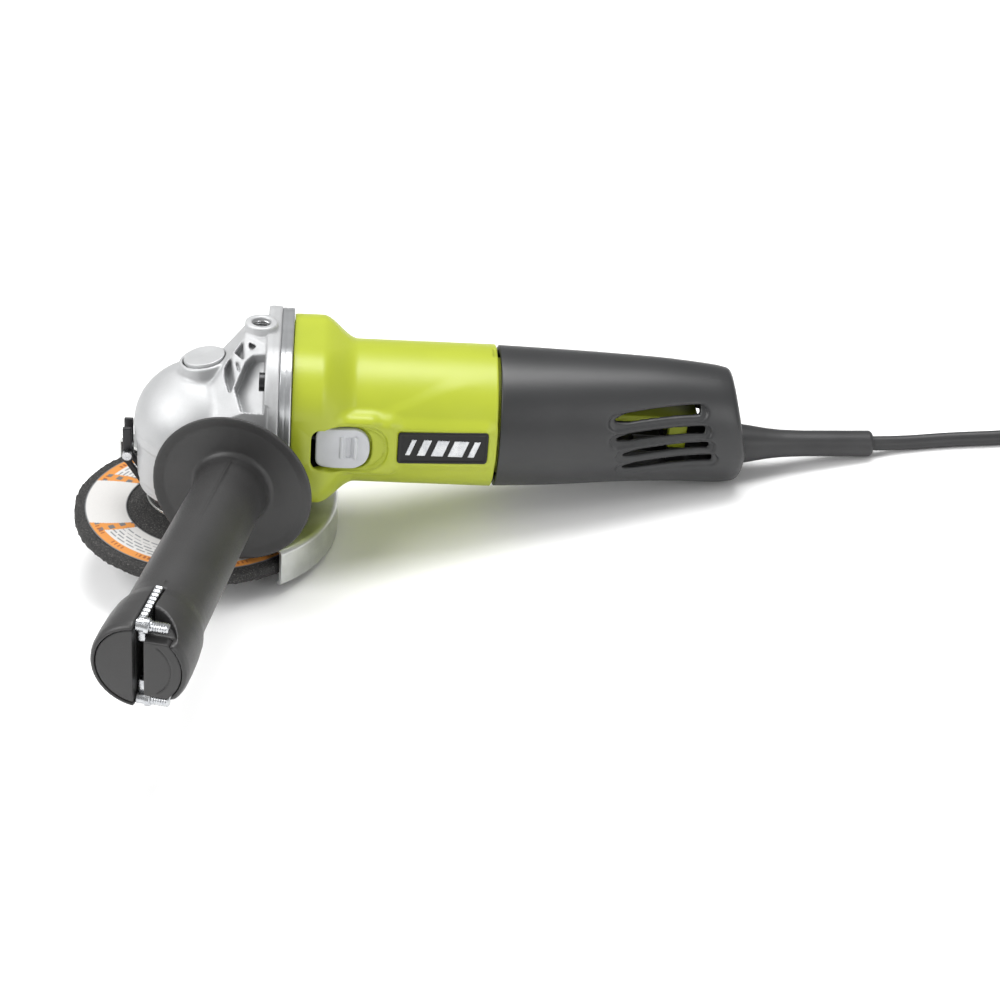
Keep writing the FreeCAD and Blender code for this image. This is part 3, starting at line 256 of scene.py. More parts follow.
def apply_modifiers(piece):
    graph = bpy.context.evaluated_depsgraph_get()
    done = bpy.data.meshes.new_from_object(piece.evaluated_get(graph))
    piece.modifiers.clear()
    piece.data = done


def net(field, low, pitch):
    """The surface where a field of distances passes through nought, as points and quads."""
    inside = field < 0
    shape = np.array(field.shape) - 1
    corners = [(i, j, k) for i in (0, 1) for j in (0, 1) for k in (0, 1)]
    count = np.zeros(shape, np.int8)
    for i, j, k in corners:
        count += inside[i:i + shape[0], j:j + shape[1], k:k + shape[2]]
    cells = np.argwhere((count > 0) & (count < 8))
    number = np.full(shape, -1, np.int32)
    number[tuple(cells.T)] = np.arange(len(cells))
    total, hits = np.zeros((len(cells), 3)), np.zeros((len(cells), 1))
    for a in corners:
        for axis in range(3):
            if a[axis]:
                continue
            b = tuple(1 if index == axis else a[index] for index in range(3))
            first, last = field[tuple((cells + a).T)], field[tuple((cells + b).T)]
            crossed = (first < 0) != (last < 0)
            share = (first[crossed] / (first[crossed] - last[crossed]))[:, None]
            total[crossed] += np.array(a) + share * (np.array(b) - np.array(a))
            hits[crossed] += 1
    points = np.array(low) + pitch * (cells + total / hits)
    quads = []
    for axis in range(3):
        one, two = (axis + 1) % 3, (axis + 2) % 3
        here = [slice(None)] * 3
        here[axis], ahead = slice(0, -1), [slice(None)] * 3
        ahead[axis] = slice(1, None)
        changed = np.argwhere(inside[tuple(here)] != inside[tuple(ahead)])
        changed = changed[(changed[:, one] > 0) & (changed[:, two] > 0)
                          & (changed[:, one] < shape[one]) & (changed[:, two] < shape[two])]
        ring = []
        for step_one, step_two in ((-1, -1), (0, -1), (0, 0), (-1, 0)):
            cell = changed.copy()
            cell[:, one] += step_one
            cell[:, two] += step_two
            ring.append(number[tuple(cell.T)])
        ring = np.array(ring).T
        outward = inside[tuple(changed.T)]
        ring[~outward] = ring[~outward][:, ::-1]
        quads.append(ring)
    return points, np.vstack(quads)


class Block:
    """A grid of points in some frame, over which a solid is a field of distances, below nought inside."""

    def __init__(self, low, high, pitch):
        self.low, self.pitch = low, pitch * 1
        axes = [np.arange(a, b + self.pitch, self.pitch, dtype=np.float32) for a, b in zip(low, high)]
        self.x, self.y, self.z = np.meshgrid(*axes, indexing="ij", sparse=True)
        self.shape = tuple(len(axis) for axis in axes)

    def piece(self, name, field, keep, *rest):
        """The field's surface as a piece; keep is the share of its faces that stay."""
        field = np.broadcast_to(field, self.shape).astype(np.float32)
        points, quads = net(field, self.low, self.pitch)
        made = add_piece(name, points, quads, *rest)
        if keep < 1:
            thin = made.modifiers.new("thin", "DECIMATE")
            thin.ratio = keep
            apply_modifiers(made)
        return made


def length(*parts):
    return np.sqrt(sum(part * part for part in parts))


def join(a, b, soft=0.0):
    """Both solids, with a fillet where they meet."""
    if not soft:
        return np.minimum(a, b)
    share = np.clip(0.5 + 0.5 * (b - a) / soft, 0, 1)
    return b + (a - b) * share - soft * share * (1 - share)


def meet(a, b, soft=0.0):
    """What two solids share, with a softened edge."""
    return -join(-a, -b, soft)


def carve(a, b, soft=0.0):
    """The first solid without the second."""
    return meet(a, -b, soft)


def slab(value, low, high):
    return np.maximum(low - value, value - high)


def rod(u, v, w, radius, low, high, edge=0.0):
    """A round bar along w."""
    return meet(length(u, v) - radius, slab(w, low, high), edge)


def crate(x, y, z, low, high, edge=0.0):
    """A box between two corners, with rounded edges."""
    half = [(b - a) / 2 - edge for a, b in zip(low, high)]
    mid = [(a + b) / 2 for a, b in zip(low, high)]
    q = [np.abs(value - centre) - size for value, centre, size in zip((x, y, z), mid, half)]
    outside = length(*[np.maximum(part, 0) for part in q])
    return outside + np.minimum(np.maximum(q[0], np.maximum(q[1], q[2])), 0) - edge


def outline(u, v, corners):
    """Signed distance to a closed outline."""
    u, v = np.broadcast_arrays(u, v)
    best, inside = np.full(u.shape, 1e9, np.float32), np.zeros(u.shape, bool)
    for (ax, ay), (bx, by) in zip(corners, corners[1:] + corners[:1]):
        ex, ey = bx - ax, by - ay
        share = np.clip(((u - ax) * ex + (v - ay) * ey) / (ex * ex + ey * ey), 0, 1)
        best = np.minimum(best, (u - ax - share * ex) ** 2 + (v - ay - share * ey) ** 2)
        crossing = (ay > v) != (by > v)
        if by != ay:
            inside ^= crossing & (u < ax + (v - ay) * ex / (by - ay))
    return np.where(inside, -1, 1) * np.sqrt(best)


def round_square(u, v, half, corner):
    """A square section whose corners lie on a circle of the given radius."""
    turn = (half * math.sqrt(2) - corner) / (math.sqrt(2) - 1)
    a, b = np.abs(u) - (half - turn), np.abs(v) - (half - turn)
    return length(np.maximum(a, 0), np.maximum(b, 0)) + np.minimum(np.maximum(a, b), 0) - turn


def eased(value, low, high):
    share = np.clip((value - low) / (high - low), 0, 1)
    return share * share * (3 - 2 * share)


def turned(name, profile, place, look, body, slot, nodes=(), count=96, first=0, sweep=360, shift=None):
    """A surface turned about Z from closed (radius, height) corners."""
    count = count
    closed = sweep == 360
    angles = np.radians(first + sweep * np.arange(count + (0 if closed else 1)) / count)
    profile = np.array(profile, float)
    ring = len(profile)
    points = np.empty((len(angles), ring, 3))
    points[..., 0] = np.cos(angles)[:, None] * profile[None, :, 0]
    points[..., 1] = np.sin(angles)[:, None] * profile[None, :, 0]
    points[..., 2] = profile[None, :, 1]
    if shift is not None:
        points += shift(points)
    faces = []
    spans = len(angles) if closed else len(angles) - 1
    for i in range(spans):
        after = (i + 1) % len(angles)
        for j in range(ring):
            k = (j + 1) % ring
            if profile[j, 0] < TINY and profile[k, 0] < TINY:
                continue
            faces.append((i * ring + j, after * ring + j, after * ring + k, i * ring + k))
    if not closed:
        faces.append(tuple(range(ring))[::-1])
        faces.append(tuple((len(angles) - 1) * ring + j for j in range(ring)))
    made = add_piece(name, points.reshape(-1, 3), faces, place, look, body, slot, nodes)
    weld = made.modifiers.new("weld", "WELD")
    weld.merge_threshold = TINY
    apply_modifiers(made)
    return made


def rounded(corners, radius, steps=4):
    """An outline whose corners are rounded, as a list of points."""
    corners = [np.array(corner, float) for corner in corners]
    result = []
    for index, corner in enumerate(corners):
        before, after = corners[index - 1] - corner, corners[(index + 1) % len(corners)] - corner
        reach = min(radius, 0.45 * np.linalg.norm(before), 0.45 * np.linalg.norm(after))
        start = corner + before / np.linalg.norm(before) * reach
        end = corner + after / np.linalg.norm(after) * reach
        if abs(corner[0]) < TINY:
            result.append(corner)
            continue
        for step in range(steps + 1):
            t = step / steps
            result.append((1 - t) ** 2 * start + 2 * t * (1 - t) * corner + t * t * end)
    return result


def hard_edges(piece, angle):
    """Corners sharper than an angle stay crisp."""
    bpy.context.view_layer.objects.active = piece
    piece.select_set(True)
    bpy.ops.object.shade_smooth_by_angle(angle=math.radians(angle))
    piece.select_set(False)


# The mains lead: route points repeated from the part, in millimetres of the row frame

LEAD_RADIUS = 3.45
SECTION_POINTS = 32
FLOOR_LINE = 3.55
COIL = Vector((322, 4, 0))
MIDDLE_TURN, TURN_STEP = 40.5, 7.0
OUTER_TURN = MIDDLE_TURN + TURN_STEP
COIL_EAST = COIL.x + OUTER_TURN
FLOOR_ROUTE = ((214, 56.5), (238, 51.5), (265, 49.6), (292, COIL.y + OUTER_TURN))
# Counted in turns: the whole coil, the way in, the end of the innermost turn, one step out, the climb
TURNS, TURN_POINTS = 6.25, 16
INWARD_TURNS, INNER_UNTIL, OUTWARD_TURNS = 2, 3.2, 1.25
CLIMB_FROM, CLIMB_OVER = 2.6, 0.5
CLIMB = 6.9
PLUG_PLACE = Vector((COIL_EAST + 0.4, -30, 9))


def coil_point(done):
    """The lead's middle after some turns: inwards on the floor, up, and outwards on top."""
    angle = math.radians(90 - 360 * done)
    height = FLOOR_LINE + CLIMB * min(1, max(0, done - CLIMB_FROM) / CLIMB_OVER)
    if done <= INNER_UNTIL:
        inward = min(done, INWARD_TURNS)
    else:
        inward = max(0, INWARD_TURNS - (done - INNER_UNTIL) / OUTWARD_TURNS)
    radius = OUTER_TURN - TURN_STEP * inward
    return Vector((COIL.x + radius * math.cos(angle), COIL.y + radius * math.sin(angle), height))


def lead_route():
    start = exit_point / MM
    route = [start, start + exit_way * 12.5]
    route += [Vector((x, y, FLOOR_LINE)) for x, y in FLOOR_ROUTE]
    route += [coil_point(index / TURN_POINTS) for index in range(int(TURNS * TURN_POINTS))]
    route += [Vector((COIL_EAST - 0.2, COIL.y + 1, 10.5)), Vector((COIL_EAST + 0.4, COIL.y - 15, 10))]
    route.append(PLUG_PLACE)
    return route


def lead_section():
    """An oval with a shallow groove on each flat side, like two joined cores."""
    section = bpy.data.curves.new("lead_section", "CURVE")
    section.dimensions = "2D"
    rim = section.splines.new("POLY")
    rim.points.add(SECTION_POINTS - 1)
    for index, point in enumerate(rim.points):
        angle = 2 * math.pi * index / SECTION_POINTS
        off_flat = math.degrees(math.asin(math.sin(angle)))
        groove = 1 - 0.20 * math.exp(-((off_flat / 16) ** 2))
        point.co = (LEAD_RADIUS * MM * 0.80 * groove * math.cos(angle),
                    LEAD_RADIUS * MM * groove * math.sin(angle), 0, 1)
    rim.use_cyclic_u = True
    return bpy.data.objects.new("lead_section", section)


exit_point = RELIEF @ Vector((0, 0, RELIEF_END))
exit_way = (RELIEF.to_3x3() @ Vector((0, 0, 1))).normalized()
lead_points = lead_route()
curve = bpy.data.curves.new("mains_lead", "CURVE")
curve.dimensions = "3D"
curve.twist_mode = "Z_UP"
curve.resolution_u = 6
spline = curve.splines.new("NURBS")
spline.points.add(len(lead_points) - 1)
for point, place in zip(spline.points, lead_points):
    point.co = (*(place * MM), 1)
spline.order_u = 3
spline.use_endpoint_u = True
curve.bevel_mode = "OBJECT"
curve.bevel_object = lead_section()
curve.use_fill_caps = True
mains_lead = bpy.data.objects.new("mains_lead", curve)
bpy.context.collection.objects.link(mains_lead)
curve.materials.append(MATERIALS["black_rubber"])
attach(mains_lead, "tool")
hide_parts("cord", "cord_coil", "plug_lead")


# Strain relief, plug and the tie round the coil

turned("lead_sleeve", rounded([(0, -3), (8.9, -3), (8.9, 1.5), (8.2, 6), (7.0, 13), (6.2, 20), (5.85, 30),
                               (5.8, 60.2), (4.9, 61.4), (0, 61.4)], 1.2), RELIEF, "black_rubber", "tool",
       "black_rubber", ["strain_relief"], count=64)


def make_plug():
    lying = Matrix(((1, 0, 0), (0, 0, -1), (0, 1, 0))).to_4x4()
    place = Matrix.Translation(PLUG_PLACE * MM) @ lying @ IN_MM
    b = Block((-13.5, -9.5, -1.5), (13.5, 9.5, 39), 0.35)
    x, y, z = b.x, b.y, b.z
    neck = length(x, y) - (4.6 + 2 * np.clip(z / 13, 0, 1))
    ribs = 0.5 * (np.cos(z * 2 * math.pi / 3.0) > 0.1) * (z > 1.5) * (z < 12)
    neck = meet(neck + ribs, slab(z, 0, 18), 0.4)
    waist = crate(x, y, z, (-12, -8, 14), (12, 8, 37), 2.6)
    grip_dents = length(x, np.abs(y) - 12.6, z - 27) - 6.2
    solid = carve(join(neck, waist, 1.5), grip_dents, 1.0)
    return b.piece("plug_housing", solid, 0.4, place, "black_plastic", "tool", "black_rubber", ["plug_body"])


def make_tie():
    """A flat strap round the coil's bundle, in a rounded box shape."""
    count, corners = 48, 4
    half_wide, half_tall, squareness = 11.9, 7.4, 0.4
    middle, half_width, thick = 7.5, 2.2, 0.5
    points, faces = [], []
    for index in range(count):
        angle = 2 * math.pi * index / count
        across, tall = (half * math.copysign(abs(part) ** squareness, part)
                        for half, part in ((half_wide, math.cos(angle)), (half_tall, math.sin(angle))))
        for out, width in ((0, -half_width), (0, half_width), (thick, half_width), (thick, -half_width)):
            grow = 1 + out / 11
            height = middle + tall * grow * 0.98
            points.append((COIL.x - MIDDLE_TURN - across * grow * 0.94, COIL.y + width, max(height, 0.1)))
        here, ahead = index * corners, (index + 1) % count * corners
        faces += [(here + j, ahead + j, ahead + (j + 1) % corners, here + (j + 1) % corners)
                  for j in range(corners)]
    return add_piece("coil_tie", points, faces, IN_MM, "black_plastic", "tool", "black_plastic")


plug_piece = make_plug()
coil_tie = make_tie()


# Gear case: dome, ribbed web with its cored pockets, bosses and flange

CORNER = 26.52
CORNERS = [(y, z) for y in (-CORNER, CORNER) for z in (-CORNER, CORNER)]
SCREW_HOLE = 2.2
THREAD_HOLE = 4.1


def handle_boss(b, side, radius, low, high, edge=0.0):
    """A bar along the side handle's axis, or along its mirror image."""
    out = side * math.cos(SLANT) * b.y - math.sin(SLANT) * (b.x - HANDLE_X)
    across = math.cos(SLANT) * (b.x - HANDLE_X) + math.sin(SLANT) * side * b.y
    return rod(across, b.z - HANDLE_Z, out, radius, low, high, edge)


def bowl(radius, z, reach, tall, scale):
    """The upper half of an ellipsoid about the spindle."""
    whole = (np.sqrt((radius / reach) ** 2 + ((z + 9) / tall) ** 2) - 1) * scale
    return np.maximum(whole, -9.5 - z)


# Cored pockets on a slanted shoulder: corners along the shaft and up the slope, and depth
POCKETS = (([(26.4, 11.3), (21.6, 11.9), (18.9, 9.8), (14.8, -0.8), (17.8, -10.7), (26.4, -12.2)], 7.5),
           ([(11.6, 12.4), (9.8, 9.4), (10.2, 4.0), (12.0, -1.4), (13.3, 2.7)], 6.0),
           ([(16.5, 18.8), (17.0, 12.4), (13.9, 15.5)], 5.0),
           ([(14.1, 10.8), (15.1, 10.4), (16.0, 6.6), (15.1, 7.2)], 1.8))


def make_case():
    b = Block((-32, -41, -36), (35.5, 41, 44), 0.5)
    x, y, z = b.x, b.y, b.z
    radius, side_y = length(x, y), np.abs(y)
    dome = join(rod(x, y, z, 28.9, -34, -12.5, 0.8), rod(x, y, z, 30.1, -14.5, -8.5, 0.8), 1.6)
    dome = join(dome, bowl(radius, z, 30.1, 27.3, 27), 1.0)
    # web, widening from the dome to the flange, with a bevelled shoulder on each side
    share = (x - 2) / 26.6
    half, bevel = 25 + 9 * share, 28 + 26 * share
    top = 27.5 + 1.5 * (x - 10.8)
    depth = (side_y + z - bevel) / math.sqrt(2)
    web = np.maximum(np.maximum(side_y - half, -33.6 - z), depth)
    web = meet(web, np.maximum((z - top) * 0.55, z - 37.5), 1.4)
    web = meet(web, slab(x, 1.5, 30), 0.5)
    web = meet(web, (side_y - z - 62) / math.sqrt(2), 1.0)
    case = join(dome, web, 2.2)
    # bosses: lock button, top handle hole and the two side handle holes
    case = join(case, rod(x, y, z - 0.183 * x, 10.9, 4, 22.6, 1.0), 1.4)
    case = join(case, rod(x - HANDLE_X, y, z, 7.1, 14, 41.5, 0.7), 0.9)
    for side in (-1, 1):
        case = join(case, handle_boss(b, side, 11.2, 15, 38, 0.8), 2.0)
    # pockets, mirrored on both shoulders
    up_slope = (z - side_y) / math.sqrt(2)
    for corners, deep in POCKETS:
        flare = 0.12 * (depth + deep)
        case = carve(case, np.maximum(outline(x, up_slope, corners) - flare, -depth - deep), 0.45)
    # step under the top boss
    case = carve(case, crate(x, side_y, z, (19.5, 5.4, 33.4), (28.2, 12, 35.6), 0.6), 0.5)
    # flange, with a thicker lip along its upper part
    square = round_square(y, z, 38.5, 45)
    case = join(case, meet(square, slab(x, 28.5, 33), 0.5), 0.7)
    case = join(case, np.maximum(meet(square, slab(x, 27.0, 30), 0.5), 21 - z), 0.6)
    # holes: button well, handle threads, and the screws with their pockets
    case = carve(case, rod(x, y, z, 9.25, 16.35, 40), 0.3)
    case = carve(case, rod(x - HANDLE_X, y, z, THREAD_HOLE, 24, 44), 0.35)
    for u, v in CORNERS:
        case = carve(case, rod(y - u, z - v, x, 4.7, 14.5, 28.4), 0.4)
        case = carve(case, rod(y - u, z - v, x, SCREW_HOLE, 14, 34))
    for side in (-1, 1):
        case = carve(case, handle_boss(b, side, THREAD_HOLE, 22, 40), 0.5)
    # hollow for the gears, open below and towards the motor
    inner = join(rod(x, y, z, 23.5, -22, -9), bowl(radius, z, 23.5, 17, 17), 1)
    inner = join(inner, rod(x, y, z, 16, -36, -21))
    inner = join(inner, rod(y, z, x, 15, 0, 35), 1)
    b.piece("case_casting", carve(case, inner), 0.30, TOOL, "cast_case", "tool", "cast_case", ["gear_case"])


make_case()


def make_thread():
    """Ridges in the top handle hole."""
    mouth, pitch, root, crest = 41.0, 1.25, 4.14, 3.4
    profile = [(4.3, mouth - 1.0)]
    for index in range(8):
        height = mouth - 1.2 - index * pitch
        profile += [(root, height), (crest, height - 0.5), (root, height - 1.0)]
    profile.append((4.3, profile[-1][1]))
    turned("handle_thread_top", profile, TOOL @ Matrix.Translation((HANDLE_X, 0, 0)), "steel", "tool",
           "cast_case", count=40)


make_thread()


def make_plate():
    b = Block((32, -40, -40), (39.5, 40, 40), 0.4)
    x, y, z = b.x, b.y, b.z
    plate = meet(round_square(y, z, 38.0, 44.4), slab(x, 33.05, 38.3), 0.35)
    # parting groove round the rim
    plate = carve(plate, meet(-round_square(y, z, 38.6, 45.0) - 0.75, slab(x, 35.4, 35.8), 0.2), 0.2)
    plate = carve(plate, length(y, z) - 11)
    for u, v in CORNERS:
        plate = carve(plate, length(y - u, z - v) - SCREW_HOLE)
    b.piece("bearing_plate_casting", plate, 0.3, TOOL, "machined_plate", "tool", "cast_case",
            ["bearing_plate"])


make_plate()


# Spindle lock button, on the dome's slope

def make_button():
    b = Block((-10, -10, 18.6), (10, 10, 28), 0.2)
    sloped = b.z - 0.185 * b.x
    crown = rod(b.x, b.y, sloped, 8.8, 20.7, 23.9, 0.5)
    crown = np.maximum(crown, 20.7 - b.z)
    dish = length(b.x / 9.5, b.y / 9.5, sloped - 24.55) - 1
    b.piece("lock_button_cap", carve(crown, dish, 0.3), 0.4, TOOL, "button_silver", "lock_button",
            "button_silver", ["spindle_lock_button"])


make_button()


# Motor housing: rounded square flange easing into the barrel, with pads for the switch and the badge

def make_housing():
    b = Block((37, -43, -43), (217, 43, 43), 0.55)
    x, y, z = b.x, b.y, b.z
    easing = eased(x, 50.5, 66.5)
    body = round_square(y, z, 36.4 - 5.1 * easing, 41.9 - 10.6 * easing)
    # soft ridge along the near side
    ridge_line = 12.5 + 15 * eased(x, 62, 118)
    lifted = eased(ridge_line - z, -1.5, 3.0) * eased(x, 58, 70)
    lifted = lifted * (1 - eased(x, 104, 124)) * eased(z, -16, -6)
    body = body * 0.9 - 0.5 * lifted * (y < 0)
    body = meet(body, slab(x, 38.55, 126.6), 0.5)
    # pads, and the neck inside the sleeve
    front_pad = crate(x, y, z, (40, -32.9, -15), (84.5, -20, 13.4), 4.5)
    brow = crate(x, y, z, (53, -33.4, 10.2), (75, -26, 13.8), 3.0)
    badge_seat = crate(x, y, z, (80.5, -31.9, -9.8), (125.6, -20, 11.4), 4.5)
    body = join(body, join(front_pad, brow, 4.0), 2.6)
    body = join(body, badge_seat, 3.0)
    body = join(body, rod(y, z, x, 25.4, 120, 152, 0.3))
    # hollow, bearing web with its passage, and the shelf for the switch
    bore = join(rod(y, z, x, 28.7, 56, 123), rod(y, z, x, 23.4, 122, 153))
    mouth = np.maximum(length(y, z) - 34 + np.maximum(0, x - 48) * 0.44, slab(x, 37, 60))
    body = carve(body, join(bore, mouth))
    web = carve(rod(y, z, x, 24, 130, 138), length(y, z) - 12.3)
    web = carve(web, crate(x, y, z, (129, -24, -7), (139, -14, 1)))
    body = join(body, web)
    body = join(body, crate(x, y, z, (130, -13, 6.8), (216, 13, 9.8), 0.3))
    for side in (-1, 1):
        post_y = side * 7.8
        body = join(body, crate(x, y, z, (204, post_y - 2.6, -7), (212, post_y + 2.6, 8), 0.2))
    for u, v in CORNERS:
        body = join(body, rod(y - u, z - v, x, 4.2, 38.6, 51))
        body = carve(body, rod(y - u, z - v, x, SCREW_HOLE, 38, 50.6))
    # shallow stadium for the thumb
    stadium = length(np.maximum(np.maximum(x - 69.6, 58 - x), 0), (z + 0.8) * 0.98) - 10.9
    stadium = meet(stadium, slab(x, 47.2, 82), 4.5)
    body = carve(body, np.maximum(stadium, y + 31.9), 0.25)
    # the slider's own well, its way forward, and the slots for its stem and link
    well = length(np.maximum(x - 66, 0), (z + 0.75) * 0.86) - 8.5
    well = np.maximum(well, slab(z, -10.9, 9.3))
    well = meet(well, slab(x, 47.2, 74.2), 4.5)
    body = carve(body, np.maximum(well, y + 30.3), 0.25)
    body = carve(body, crate(x, y, z, (43.3, -34.1, -10.9), (52, -30.2, 9.3)))
    body = carve(body, crate(x, y, z, (46, -33, -6.6), (72, -27, 0.6)))
    body = carve(body, crate(x, y, z, (49, -29.7, -6.6), (123, -27.4, 0.6)))
    # the arc behind the slider
    arc = np.maximum(np.abs(length(x - 69.4, z + 0.8) - 9.2) - 0.2, 71 - x)
    body = carve(body, np.maximum(arc, np.abs(y + 31.9) - 0.7), 0.2)
    # badge pocket and the notch over the seam
    body = carve(body, crate(x, y, z, (83.5, -40, -7.4), (123.6, -31.5, 8.9), 1.6), 0.3)
    body = carve(body, crate(x, y, z, (124.6, -3.4, 30.4), (128, 3.4, 33), 0.4), 0.3)
    b.piece("motor_shell", body, 0.26, TOOL, "green_housing", "tool", "green_housing", ["motor_housing"])


make_housing()


# Switch slider with its two ridges

def make_slider():
    b = Block((48, -35, -12), (75, -27.5, 10), 0.2)
    x, y, z = b.x, b.y, b.z
    face = -33.1 - 0.5 * eased(np.abs(x - 60), 9, 2)
    slider = np.maximum(length(np.maximum(x - 64.2, 0), (z + 0.75) * 0.9) - 8.7, slab(z, -10.3, 8.8))
    slider = meet(slider, slab(x, 49.1, 74), 4.5)
    slider = meet(slider, np.maximum(face - y, y + 30.4), 0.8)
    for middle in (60.4, 66.2):
        ridge = crate(x, y, z, (middle - 0.9, -34.55, -5.4), (middle + 0.9, -31, 5.4), 0.8)
        slider = join(slider, ridge, 0.2)
    trough = crate(x, y, z, (62.0, -36, -5.0), (64.6, -32.5, 5.0), 0.7)
    slider = carve(slider, trough, 0.4)
    stem = crate(x, y, z, (50.4, -31, -5.8), (66.5, -29, -0.2), 0.2)
    b.piece("slider_cap", join(slider, stem), 0.35, TOOL, "switch_grey", "power_slider", "switch_grey",
            ["switch_slider"])


make_slider()


# Badge: a plain black plate with a bright rim and generic bars

def make_badge():
    b = Block((82.6, -34, -9), (125, -30.5, 10.4), 0.22)
    tilted = b.z - 0.035 * (b.x - 103)
    plate = crate(b.x, b.y, tilted, (84.1, -32.45, -6.9), (122.9, -31.5, 8.4), 0.4)
    plate = meet(plate, crate(b.x, b.y, tilted, (84.1, -40, -6.9), (122.9, -20, 8.4), 1.7), 0.2)
    groove = crate(b.x, b.y, tilted, (85.3, -33.5, -5.7), (121.7, -32.22, 7.2), 0.3)
    b.piece("badge_blank", carve(plate, groove, 0.12), 0.4, TOOL, "badge_black", "tool", "black_plastic",
            ["badge_plate"])
    b = Block((86, -33.2, -7), (122, -31.6, 8.2), 0.2)
    skewed = b.x - (b.z - 0.75) * 0.35
    bars = np.inf
    for middle, half in ((89.8, 1.1), (95.6, 1.8), (102.4, 2.6), (110.2, 3.2), (117.0, 1.4)):
        bars = np.minimum(bars, crate(skewed, b.y, b.z, (middle - half, -32.5, -3.2),
                                      (middle + half, -32.0, 4.7), 0.25))
    b.piece("badge_bars", bars, 0.5, TOOL, "bright_zinc", "tool", "zinc_plate")


make_badge()


# Rear sleeve with its four vents a side

# Station along the shaft, half width, and the reach above and below the shaft
ROWS = np.array([(127.4, 31.1, 31.1, -31.1), (141, 30.1, 31.0, -30.6), (155, 28.8, 30.9, -29.9),
                 (168.5, 27.7, 30.7, -28.7), (182, 26.4, 30.4, -27.6), (195.5, 25.1, 30.0, -26.9),
                 (209, 23.8, 29.3, -26.6), (219, 23.0, 28.6, -26.75), (226, 22.4, 28.0, -26.8),
                 (231, 21.8, 27.4, -26.4), (234.6, 20.9, 26.7, -25.4), (237.4, 19.6, 25.9, -23.4)])
# Vents: front, back, height at the front, rise towards the back and half opening
VENTS = ((178.5, 214.6, 12.6, 3.6, 1.8), (179.5, 217.2, 4.4, 3.8, 1.45),
         (183.0, 219.4, -3.3, 4.7, 1.15), (183.8, 221.6, -10.6, 5.4, 1.35))
SLEEVE_FRONT, SLEEVE_BACK = 127.4, 236.6
SLEEVE_WALL = 2.6


def smooth_column(values, column):
    """Rows joined by a smooth curve."""
    x, y = ROWS[:, 0], ROWS[:, column]
    slope = np.gradient(y, x)
    slope[-1] = (y[-1] - y[-2]) / (x[-1] - x[-2])
    index = np.clip(np.searchsorted(x, values) - 1, 0, len(x) - 2)
    span = x[index + 1] - x[index]
    t = (values - x[index]) / span
    return ((2 * t ** 3 - 3 * t ** 2 + 1) * y[index] + (t ** 3 - 2 * t ** 2 + t) * span * slope[index]
            + (-2 * t ** 3 + 3 * t ** 2) * y[index + 1] + (t ** 3 - t ** 2) * span * slope[index + 1])


def make_sleeve():
    b = Block((126, -33, -33), (240.6, 33, 33), 0.5)
    x, y, z = b.x, b.y, b.z
    # the tail's rear face leans forward above
    lean = math.tan(math.radians(13.0)) * eased(x, 196, 232)
    along = x + np.maximum(z, -5) * lean
    station = np.clip(along, SLEEVE_FRONT, SLEEVE_BACK)
    wide, high, low = (smooth_column(station, column) for column in (1, 2, 3))
    tall = np.where(z > 0, high, -low)
    outer = (np.sqrt((y / wide) ** 2 + (z / tall) ** 2) - 1) * np.minimum(wide, tall)
    outer = meet(outer, along - SLEEVE_BACK, 2.2)
    outer = np.maximum(outer, 127.45 - x)
    inner = np.maximum(outer + SLEEVE_WALL, along - 232.0)
    seat = np.maximum(np.maximum(length(y, z) - 28.6, 126 - x), x - 134)
    shell = carve(outer, join(inner, seat))
    # rounded front edge
    shell = carve(shell, np.abs(length(x - 127.3, np.maximum(0, -outer))) - 0.6, 0.3)
    for front, back, base, rise, half in VENTS:
        share = np.clip((x - front) / (back - front), 0, 1)
        middle = base + rise * (1 - (1 - share) ** 1.7)
        taper = half * eased(share, -0.12, 0.16) - 0.15
        reach = np.maximum(np.maximum(front - x, x - back), 0)
        slot = length(np.abs(z - middle) - taper + 0.6, reach)
        slot = np.where(np.abs(z - middle) < taper - 0.6, reach, slot) - 0.6
        shell = carve(shell, np.maximum(slot, 6 - np.abs(y)), 0.35)
        below = z - middle + 0.5
        flute = length(np.abs(below) * 0.9, reach * 0.8) - 2.7
        shell = carve(shell, np.maximum(flute, -outer - 1.15 - 0.2 * below), 1.4)
    # hole for the strain relief
    dx, dz = x - RELIEF_X, z - RELIEF_Z
    along_relief = dx * math.cos(RISE) + dz * math.sin(RISE)
    above = -dx * math.sin(RISE) + dz * math.cos(RISE)
    shell = carve(shell, rod(y, above, along_relief, 9.2, -14, 14), 0.3)
    b.piece("sleeve_shell", shell, 0.28, TOOL, "dark_housing", "tool", "dark_housing", ["rear_sleeve"])


make_sleeve()


# Side handle

# Half section from the shield to the butt: radius, and height along the handle
GRIP = [(0, 38.6), (16.6, 38.6), (17.6, 41.4), (30, 41.8), (33.6, 43.0), (34.6, 44.4), (34.7, 45.4),
        (34.0, 45.6), (30, 44.4), (17.6, 44.0), (16.3, 45.6), (15.5, 48.5), (15.1, 55), (15.3, 64),
        (15.7, 100),
        (16.2, 142), (16.7, 147), (18.3, 153), (19.0, 160), (19.3, 168), (19.2, 175), (18.6, 177.2),
        (17.6, 178),
        (0, 178)]
TABLE_STEP = 0.3


